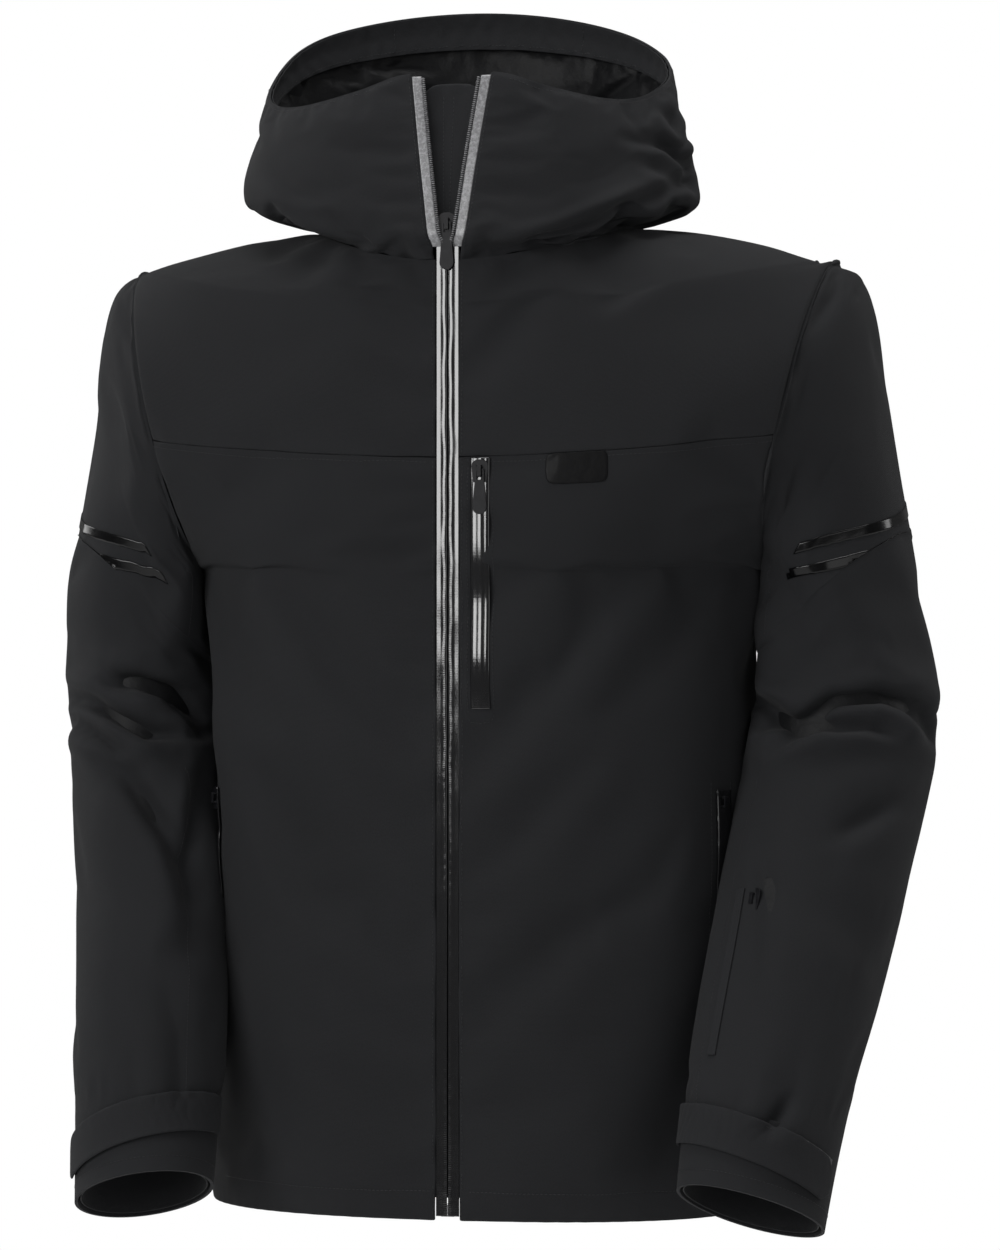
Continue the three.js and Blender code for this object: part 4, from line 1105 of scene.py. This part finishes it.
for name, side in sides:
    trees = sleeves[name]
    for level in ("upper", "lower"):
        def stripePlace(u, v, level=level):
            outerHeight, frontHeight, frontAngle = stripeWork[level]
            angle = np.radians(lerp(stripeWork["back"], frontAngle + 6 * (0.5 - v), u))
            target = lerp(outerHeight, frontHeight, u) + (v - 0.5) * stripeWork["height"]
            runs = np.linspace(0.3, 1.0, 141)
            heights = upperAt(angle[:, None], runs[None], -0.5)[..., 2]
            run = runs[np.abs(heights - target[:, None]).argmin(1)]
            found, every = np.searchsorted(runs, run), np.arange(len(run))
            step = (heights[every, np.minimum(140, found + 1)]
                    - heights[every, np.maximum(0, found - 1)]) / 0.01
            miss = target - upperAt(angle, run, -0.5)[..., 2]
            return mirrored(upperAt(angle, run + miss / step, -0.5), side)
        stripe = laidGrid("stripe_" + level + "_" + name, 60, 5, stripePlace, trees["upperTree"],
                          stripeWork["lift"], stripeFilm, stripeWork["wall"])
        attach(stripe, "upper_arm_" + name)
        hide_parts("stripe_" + level + "_" + name)

    def tabPoint(u, v):
        narrow = 1 - 0.5 * smooth(u, 0.93, 1.0) ** 1.5
        angle = (12 - 11 * u) * facet
        along = tabWork["low"] + tabWork["slope"] * u + tabWork["height"] / foreLength * (
            0.5 + (v - 0.5) * narrow)
        return mirrored(foreAt(angle, along, -0.5), side)

    tab = laidGrid("cuffTab_" + name, 72, 12, tabPoint, trees["lowerTree"], tabWork["lift"],
                   shellCloth, tabWork["wall"], 1)
    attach(tab, "tab_" + name)
    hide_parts("cuff_tab_" + name)
    t = np.linspace(0.02, 0.965, 120)
    for edge, v in (("Low", 0.10), ("High", 0.90)):
        stitches = stitchOn("tabStitches" + edge + "_" + name, surfaceOf(tab),
                            tabPoint(t, np.full(120, v)), 0.1)
        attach(stitches, "tab_" + name)
    cuffStitch = stitchOn("cuffStitches_" + name, trees["lowerTree"],
                          mirrored(sleeveAt(np.linspace(0, 2 * pi, 200), np.full(200, 1.972)), side))
    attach(cuffStitch, "lower_arm_" + name)

    def patchPlace(u, v):
        angle = (4 - 3 * u) * facet
        along = 0.875 + 0.012 * u + (tabWork["height"] - 6) / foreLength * v
        return mirrored(foreAt(angle, along, -0.5), side)

    patch = laidGrid("cuffPatch_" + name, 24, 8, patchPlace, trees["lowerTree"], 0.9, hookLoop, 0.7)
    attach(patch, "lower_arm_" + name)
    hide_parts("cuff_patch_" + name)

    # sewn seam down the inner front of the sleeve
    for part, low, high, tree, body in (("Upper", 0.30, sleeveWork["join"], "upperTree", "upper_arm_"),
                                        ("Lower", 1.2, 1.86, "lowerTree", "lower_arm_")):
        run = np.linspace(low, high, 160)
        seamLine = stitchOn("sleeveSeam" + part + "_" + name, trees[tree],
                            mirrored(sleeveAt(np.full(160, 9.2 * facet), run), side))
        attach(seamLine, body + name)


# the zip lies in the front seam of the left forearm; low and high are shares of its length
passWork = {"angle": 8.5, "halfWidth": 0.06, "low": 0.44, "high": 0.76, "bagDepth": 4.8}


def passPlace(u, v):
    return mirrored(foreAt(passWork["angle"] * facet + (u * 2 - 1) * passWork["halfWidth"],
                           lerp(passWork["low"], passWork["high"], v), -0.5), 1)


passTape = laidGrid("passZipTape", 10, 90, passPlace, sleeves["left"]["lowerTree"], 1.2, shellCloth, 0.8)
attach(passTape, "lower_arm_left")
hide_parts("pass_zip_tape")
passBag = clothGrid("passPocketBag", 16, 40,
                    lambda u, v: foreAt((9 - 4 * u) * facet, lerp(0.42, 0.78, v), passWork["bagDepth"]),
                    sleeveInside)
finishCloth(passBag, liningSatin, 0.5)
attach(passBag, "lower_arm_left")
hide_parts("pass_pocket_bag")
print("stripes, tabs and lift-pass pocket done")


# hood: shell from the neck seam to the rim
hoodWork = {"columns": 180, "rows": 56, "tapeInset": 8.2, "wall": 2.2}


def hoodPlace(low, high, rows, inset, depth=0.0):
    def place(u, v):
        share = lerp(low, high, tightEnds(v, rows))
        start = hoodAround(veeAt(share) + inset, share)
        return hoodAt(lerp(start, 4 - start, u), share, depth)
    return place


hood = clothGrid("hoodShell", hoodWork["columns"], hoodWork["rows"],
                 hoodPlace(0, 1, hoodWork["rows"], hoodWork["tapeInset"]))
hoodFolds = [
    ([(-92, 258), (-70, 268), (-52, 250)], 4.0, 7),
    ([(-30, 262), (-8, 276), (16, 266)], 3.5, 7),
    ([(0, 252), (26, 270), (46, 262)], 4.0, 8),
    ([(40, 262), (70, 268), (95, 290)], 5.0, 9),
    ([(112, 350), (122, 366), (132, 384)], 3.0, 5),
    ([(118, 340), (130, 352), (140, 366)], 3.0, 5),
    ([(124, 330), (136, 338), (146, 350)], 3.0, 5),
    ([(-150, 330), (-120, 318), (-95, 322)], 2.0, 12),
    ([(-140, 350), (-100, 345), (-75, 350)], 1.6, 12),
    ([(30, 318), (70, 326), (105, 346)], 2.0, 12)]
pressTogether([hood], hoodFolds)
rimLine = hoodAt(np.linspace(0, 4, 1201), np.ones(1201))
veeShares = np.linspace(0, 1, 301)
veeLine = hoodAt(hoodAround(veeAt(veeShares) + hoodWork["tapeInset"], veeShares), veeShares)


def heldHood(points):
    held = np.maximum(nearLine(points, neckLine, 2.5), nearLine(points, rimLine, 2.5))
    for side in (1, -1):
        held = np.maximum(held, nearLine(points, mirrored(veeLine, side), 2.5))
    return held


settleTogether([hood], heldHood, {"pressure": 2.0, "slack": 0.03, "bend": 1.4, "cap": 0.009})
pressTogether([hood], [
    ([(-166, 288), (-140, 281), (-116, 276), (-93, 264)], 6.5, 5.0),
    ([(-22, 269), (17, 276), (47, 285), (91, 303), (142, 326)], 6.5, 5.0),
    ([(-76, 280), (-92, 262), (-70, 250)], 4.0, 4.6),
    ([(-58, 286), (-46, 268), (-52, 250)], 3.0, 4.6),
    ([(-14, 262), (10, 266), (36, 262)], 4.0, 4.6),
    ([(111, 359), (132, 339), (145, 312)], 4.5, 4.4),
    ([(91, 355), (120, 349), (141, 332)], 4.0, 4.4),
    ([(116, 379), (125, 368), (131, 353)], 3.5, 4.2),
    ([(104, 338), (126, 326), (146, 318)], 3.0, 4.4),
    ([(-166, 330), (-150, 316), (-130, 310)], 2.0, 6.0)])
hoodTree = surfaceOf(hood)
finishCloth(hood, shellCloth, hoodWork["wall"])
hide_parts("hood_shell", "collar_left", "collar_right")
hoodStart, hoodEnd = inFrame(np.array([0, 0, 690.0])), inFrame(np.array([0, 0, 870.0]))


def hoodBlend(piece):
    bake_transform(piece)


hoodBlend(hood)
# how far up the hood the brim and the lining's top edge lie
brimWork = {"low": 0.862, "seam": 0.878, "liningTop": 0.90}


def hoodInsidePlace(low, high, rows, inset, depthAt):
    outer = hoodPlace(low, high, rows, inset)
    inner = hoodPlace(low, high, rows, inset, 10.0)

    def place(u, v):
        share = lerp(low, high, tightEnds(v, rows))
        return lerp(outer(u, v), inner(u, v), (depthAt(share) / 10)[..., None])
    return place


def liningDepthAt(share):
    return lerp(10.0, 3.2, smooth(share, 0.74, 0.88))


hoodLiningPlace = hoodInsidePlace(0.24, brimWork["liningTop"], 44, hoodWork["tapeInset"] + 3, liningDepthAt)
lining = clothGrid("hoodLining", 150, 44, hoodLiningPlace)
liningEnds = [hoodLiningPlace(np.linspace(0, 1, 1201), np.full(1201, end)) for end in (0.0, 1.0)]
settleTogether([lining], lambda p: np.maximum(nearLine(p, liningEnds[0], 3), nearLine(p, liningEnds[1], 3)),
               {"pressure": -1.0, "slack": 0.09, "bend": 0.12, "cap": 0.007, "stretch": 10, "shear": 3})
finishCloth(lining, liningSatin, 0.6)
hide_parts("hood_lining")
hoodBlend(lining)

def brimDepthAt(share):
    return lerp(6.2, 3.0, smooth(share, 0.86, 0.95))


brim = clothGrid("hoodBrim", 150, 8,
                 hoodInsidePlace(brimWork["low"], 0.994, 8, hoodWork["tapeInset"], brimDepthAt))
settleTogether([brim], lambda p: np.full(len(p), 0.35), {
    "pressure": -0.4, "slack": 0.03, "bend": 0.5, "cap": 0.002})
brimTree = surfaceOf(brim)
finishCloth(brim, shellCloth, 0.9)
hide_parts("hood_brim")
hoodBlend(brim)
around = np.linspace(0.18, 3.82, 420)
for seamName, tree, share, depth, lift in (("brimStitches", brimTree, brimWork["seam"], 5.6, -1.1),
                                           ("rimStitches", hoodTree, 0.972, 0.0, 0.1)):
    laid, normals = layOn(tree, inFrame(hoodAt(around, np.full(420, share), depth)), lift / 1000)
    hoodBlend(stitchRow(seamName, laid, normals))
for k, turned in enumerate((1.70, 2.36)):
    drawn = hoodAt(np.full(30, turned), np.linspace(0.87, 0.985, 30), 4.0)
    laid, normals = layOn(brimTree, inFrame(drawn), -0.0011)
    hoodBlend(stitchRow("brimJoin" + str(k), laid, normals))
print("hood done")


# front zip
zipWork = {"face": -132.0, "recess": 0.6, "bottom": 3.0, "top": 690.0, "pitch": 1.3, "wall": 0.9}


def zipTapePlace(side):
    def place(u, v):
        x = 0.35 + 7.9 * u
        z = lerp(zipWork["bottom"], zipWork["top"], v)
        crown = 0.30 * np.exp(-((x - 2.4) / 2.2) ** 2)
        tooth = np.cos(2 * pi * z / zipWork["pitch"] + (0 if side > 0 else pi))
        teeth = 0.05 * tooth * np.exp(-((x - 1.6) / 1.1) ** 2)
        ripple = 0.16 * np.sin(z / 9.0 + side) * np.sin(z / 23.0) * np.exp(-((x - 5) / 3.0) ** 2)
        y = zipWork["face"] + zipWork["recess"] - crown - teeth - ripple
        return np.stack([side * x, y, z], -1)
    return place


for name, side in sides:
    tape = clothGrid("mainZipTape_" + name, 12, 1500, zipTapePlace(side))
    finishCloth(tape, zipFilm, zipWork["wall"], 0)
    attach(tape, "jacket_body")
    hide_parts("main_zip_tape_" + name)

    def coilPlace(u, v, side=side):
        x = 0.9 + 2.6 * u
        z = lerp(zipWork["bottom"] + 9, 703, v)
        bulge = 0.9 * np.sin(pi * u) * (0.6 + 0.4 * np.cos(2 * pi * z / zipWork["pitch"]))
        return np.stack([side * x, zipWork["face"] + 3.2 - bulge * 0.5, z], -1)

    coil = clothGrid("mainZipCoil_" + name, 6, 1100, coilPlace)
    finishCloth(coil, toothPlastic, 0.9, 0)
    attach(coil, "jacket_body")
    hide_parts("main_zip_coil_" + name)

    # the fabric edge beside the zip is topstitched
    heights = np.linspace(4, 664, 420)
    low, high = heights[heights < 533], heights[heights > 536]
    for part, tree, zs in (("Low", torsoTrees[name], low), ("High", yokeTrees[name], high)):
        drawn = np.stack([np.full_like(zs, side * 10.6), np.full_like(zs, zipFace), zs], -1)
        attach(stitchOn("zipStitches" + part + "_" + name, tree, drawn), "jacket_body")

    # tape and teeth open into the V of the hood
    def veeTape(u, v, side=side):
        share = lerp(0.13, 0.985, v)
        x = veeAt(share) + 8.4 * u + 1.6 * (1 - u)
        points = hoodAt(hoodAround(x, share), share, 0.8 + 0.8 * (1 - u))
        return mirrored(points, side)

    tape = clothGrid("hoodZipTape_" + name, 8, 120, veeTape)
    # the V tape's pale grey colour is painted reflection of a lamp, not the tape's own black
    finishCloth(tape, veePaintedReflectionFilm, 0.9, 0)
    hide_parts("hood_zip_tape_" + name)
    hoodBlend(tape)
    shares = np.linspace(0.15, 0.98, 200)
    drawn = mirrored(hoodAt(hoodAround(veeAt(shares) + 0.2, shares), shares, 0.9), side)
    outward = np.tile([0.0, -1.0, 0.05], (200, 1))
    teeth = stitchRow("hoodZipTeeth_" + name, inFrame(drawn), outward, pitch=1.5, thick=2.6, length=0.9)
    # the teeth take the same pale grey painted reflection as the V tape
    teeth.data.materials[0] = veePaintedReflectionFilm
    hoodBlend(teeth)
    edge = hoodAt(hoodAround(veeAt(shares) + hoodWork["tapeInset"] + 2.2, shares), shares)
    laid, normals = layOn(hoodTree, inFrame(mirrored(edge, side)), 0.0001)
    hoodBlend(stitchRow("veeStitches_" + name, laid, normals))


def chinPlace(u, v):
    across = u * 2 - 1
    share = 0.16 + 0.80 * v * (1 - 0.10 * np.abs(across) ** 3)
    x = np.abs(across) * (veeAt(share) + 7)
    around = hoodAround(x, share)
    return hoodAt(np.where(across > 0, around, 4 - around), share, 7.0 + 3.0 * np.cos(across * 1.5))


chin = clothGrid("chinGuard", 28, 44, chinPlace)
settleTogether([chin], lambda p: (np.abs(p[:, 0]) > 0.022).astype(float) * 0.6,
               {"pressure": 0.6, "slack": 0.02, "bend": 1.0, "cap": 0.003})
chinTree = surfaceOf(chin)
finishCloth(chin, shellCloth, 1.6)
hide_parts("chin_guard")
hoodBlend(chin)
chinLine = np.linspace(0.02, 0.93, 120)
for k, across in enumerate((0.36, 0.52)):
    laid, normals = layOn(chinTree, inFrame(chinPlace(np.full(120, across), chinLine)), 0.0001)
    hoodBlend(stitchRow("chinStitches" + str(k), laid, normals))

flapWork = {"width": 34, "place": -117.0, "low": 14, "high": 700}
flap = clothGrid("stormFlap", 12, 130, lambda u, v: np.stack(
    [(u - 0.5) * flapWork["width"], flapWork["place"] - 1.2 * np.sin(pi * u) + 0.5 * np.sin(v * 60),
     lerp(flapWork["low"], flapWork["high"], v)], -1))
finishCloth(flap, facingCloth, 1.4, 1)
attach(flap, "jacket_body")
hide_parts("storm_flap")
print("front zip done")


# chest pocket and badge
chestWork = {"line": 24.0, "halfWidth": 7.0, "low": 358.0, "high": 533.0, "lift": 1.3}
badgeWork = {"line": 92.0, "height": 524.0, "halfWidth": 21.0, "halfHeight": 11.0}


def chestPoint(x, height, depth=0.0):
    rise = riseAtFront(height)
    return bodyAt(aroundAt(x, rise), rise, depth)


def chestTapePlace(u, v):
    return chestPoint(chestWork["line"] + (u * 2 - 1) * chestWork["halfWidth"],
                      lerp(chestWork["low"], chestWork["high"], v))


chestTape = clothGrid("chestZipTape", 14, 420, chestTapePlace)
heights = np.linspace(chestWork["low"], chestWork["high"], 60)
spots = np.concatenate([inFrame(chestPoint(np.full(60, chestWork["line"] + across), heights))
                        for across in (-chestWork["halfWidth"], 0.0, chestWork["halfWidth"])])
laid, _ = layOn(torsoTrees["left"], spots, 0)
# the tape lies flat on the cloth's foremost points, evened out along its length
level = laid[:, 1].reshape(3, 60).min(0)
for _ in range(60):
    level[1:-1] = (level[:-2] + 2 * level[1:-1] + level[2:]) / 4
points = pointsOf(chestTape)
offset = points[:, 0] * 1000 - chestWork["line"]
ridge = 0.35 * np.exp(-(offset / 2.4) ** 2) - 0.5 * smooth(np.abs(offset), 5.2, chestWork["halfWidth"])
points[:, 1] = (np.interp(points[:, 2], (heights + loopPlace[2]) / 1000, level)
                - (chestWork["lift"] + ridge) / 1000)
setPoints(chestTape, points)
finishCloth(chestTape, zipFilm, 1.0, 0)
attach(chestTape, "jacket_body")
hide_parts("chest_zip_tape")
border = np.array([(chestWork["line"] + x, z) for x, z in (
    (-9.2, 536), (-9.2, 352), (-7.5, 348.5), (0, 347.2), (7.5, 348.5), (9.2, 352), (9.2, 536))])
steps = np.concatenate([[0], np.cumsum(np.linalg.norm(np.diff(border, axis=0), axis=1))])
at = np.linspace(0, steps[-1], 260)
borderX, borderZ = np.interp(at, steps, border[:, 0]), np.interp(at, steps, border[:, 1])
chestStitches = stitchOn("chestStitches", torsoTrees["left"],
                         chestPoint(borderX, np.minimum(borderZ, chestWork["high"])))
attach(chestStitches, "jacket_body")

badge = clothGrid("chestBadge", 24, 14, lambda u, v: chestPoint(
    badgeWork["line"] + (u * 2 - 1) * badgeWork["halfWidth"] * (1 - 0.10 * np.abs(v * 2 - 1) ** 6),
    badgeWork["height"] + (v * 2 - 1) * badgeWork["halfHeight"] * (1 - 0.10 * np.abs(u * 2 - 1) ** 6)))
laid, _ = layOn(torsoTrees["left"], pointsOf(badge), 0.0009)
setPoints(badge, laid)
finishCloth(badge, badgeFilm, 0.7, 1)
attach(badge, "jacket_body")
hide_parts("chest_badge")


# hand pocket zips in the side fronts
handWork = {"line": 182, "halfWidth": 4, "low": 110, "high": 300}


def onFront(around, rise, side, depth=0.0):
    return bodyAt(around if side > 0 else 4 - around, rise, depth)


for name, side in sides:
    def handPlace(u, v, side=side):
        rise = lerp(handWork["low"], handWork["high"], v) / bodySize["underarm"]
        return onFront(aroundAt(handWork["line"] + (u * 2 - 1) * handWork["halfWidth"], rise), rise, side)

    handTape = laidGrid("handZipTape_" + name, 8, 160, handPlace, torsoTrees[name], 1.4, zipFilm, 1.0)
    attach(handTape, "jacket_body")
    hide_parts("hand_zip_tape_" + name)
    for edge, x in (("Front", 175.5), ("Back", 187.0)):
        rises = np.linspace(handWork["low"] - 6, handWork["high"] + 6, 140) / bodySize["underarm"]
        drawn = onFront(aroundAt(np.full(140, x), rises), rises, side)
        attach(stitchOn("handStitches" + edge + "_" + name, torsoTrees[name], drawn), "jacket_body")

# seams across the chest, round the hem
hemRise = 0.045
for name, side in sides:
    share = np.linspace(0.02, 0.98, 200)
    start = float(aroundAt(np.array([bodySize["zipOpening"]]), np.array([yokeRise]))[0])
    drawn = onFront(lerp(start, 1, share), np.full(200, yokeRise - 0.012), side)
    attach(stitchOn("yokeStitches_" + name, torsoTrees[name], drawn), "jacket_body")
    start = float(aroundAt(np.array([12.0]), np.array([hemRise]))[0])
    drawn = onFront(lerp(start, 0.995, np.linspace(0, 1, 240)), np.full(240, hemRise), side)
    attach(stitchOn("hemStitches_" + name, torsoTrees[name], drawn), "jacket_body")
print("pockets and seams done")


# inside: linings, pocket bags, hem facing, snow skirt, hang loop
def insideSheet(name, columns, rows, place, node, material, wall):
    piece = clothGrid(name, columns, rows, place)
    finishCloth(piece, material, wall)
    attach(piece, "jacket_body")
    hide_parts(node)


liningWork = {"depth": 12, "low": 0.06, "high": 2.92, "edge": 14, "quilt": 1.2}


def liningPlace(side):
    def place(u, v):
        w = liningWork
        rise = lerp(w["low"], w["high"], v)
        quilt = w["quilt"] * np.cos(u * (30 if side else 50)) * np.cos(v * 60)
        if side == 0:
            return bodyAt(1.01 + 1.98 * u, rise, w["depth"] + quilt)
        around = lerp(aroundAt(np.full_like(rise, w["edge"]), rise), 0.99, u)
        return onFront(around, rise, side, w["depth"] + quilt)
    return place


for name, side in sides:
    insideSheet("frontLining_" + name, 30, 80, liningPlace(side), "front_lining_" + name,
                liningSatin, 0.6)
    insideSheet("handPocketBag_" + name, 24, 40,
                lambda u, v, side=side: onFront(lerp(0.30, 0.80, u), lerp(0.20, 0.66, v), side, 6.5),
                "hand_pocket_bag_" + name, liningSatin, 0.6)
insideSheet("backLining", 60, 80, liningPlace(0), "back_lining", liningSatin, 0.6)
insideSheet("chestPocketBag", 20, 36, lambda u, v: bodyAt(lerp(0.08, 0.5, u), lerp(0.88, 1.43, v), 6.5),
            "chest_pocket_bag", liningSatin, 0.6)


def bandPlace(low, high, lowDepth, highDepth, frontGap, wave):
    def place(u, v):
        rise = lerp(low, high, v)
        start = aroundAt(np.full_like(rise, frontGap), rise)
        depth = lerp(lowDepth, highDepth, v) + wave * np.sin(u * 90) * np.sin(pi * v)
        return bodyAt(lerp(start, 4 - start, u), rise, depth)
    return place


insideSheet("hemFacing", 160, 6, bandPlace(0.003, 0.06, 3.2, 3.2, 11, 0.0), "hem_facing", facingCloth,
            1.0)
insideSheet("snowSkirt", 160, 24, bandPlace(0.17, 0.44, 25, 17, 20, 2.0), "snow_skirt", liningSatin,
            0.8)


def hangLoopPlace(u, v):
    angle = pi * v
    x = -30 * np.cos(angle) * (1 + 0.10 * np.sin(angle))
    z = 704 + 24 * np.sin(angle) ** 0.7
    return np.stack([x, 59 + (u - 0.5) * 7.0 - 2.0 * np.sin(angle), z], -1)


loop = clothGrid("hangLoop", 5, 60, hangLoopPlace, lambda p: p * (1, 1, 0) + (0, 0, -0.03))
finishCloth(loop, facingCloth, 1.6)
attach(loop, "jacket_body")
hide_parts("hang_loop")
print("inside done")


# hardware carried over from the model
def dress(name, material, edge):
    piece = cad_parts[name]
    piece.data.materials.clear()
    piece.data.materials.append(material)
    weld = piece.modifiers.new("weld", "WELD")
    weld.merge_threshold = 0.00001
    bevel = piece.modifiers.new("bevel", "BEVEL")
    bevel.width = edge
    bevel.segments = 2
    bevel.limit_method = "ANGLE"
    bevel.angle_limit = math.radians(35)


for name in ("main_zip_slider", "chest_zip_slider", "hand_zip_left_slider", "hand_zip_right_slider",
             "pass_zip_slider", "main_zip_puller", "chest_zip_puller"):
    dress(name, darkMetal, 0.00028)
dress("main_zip_box", paleMetal, 0.0005)
print("hardware done")
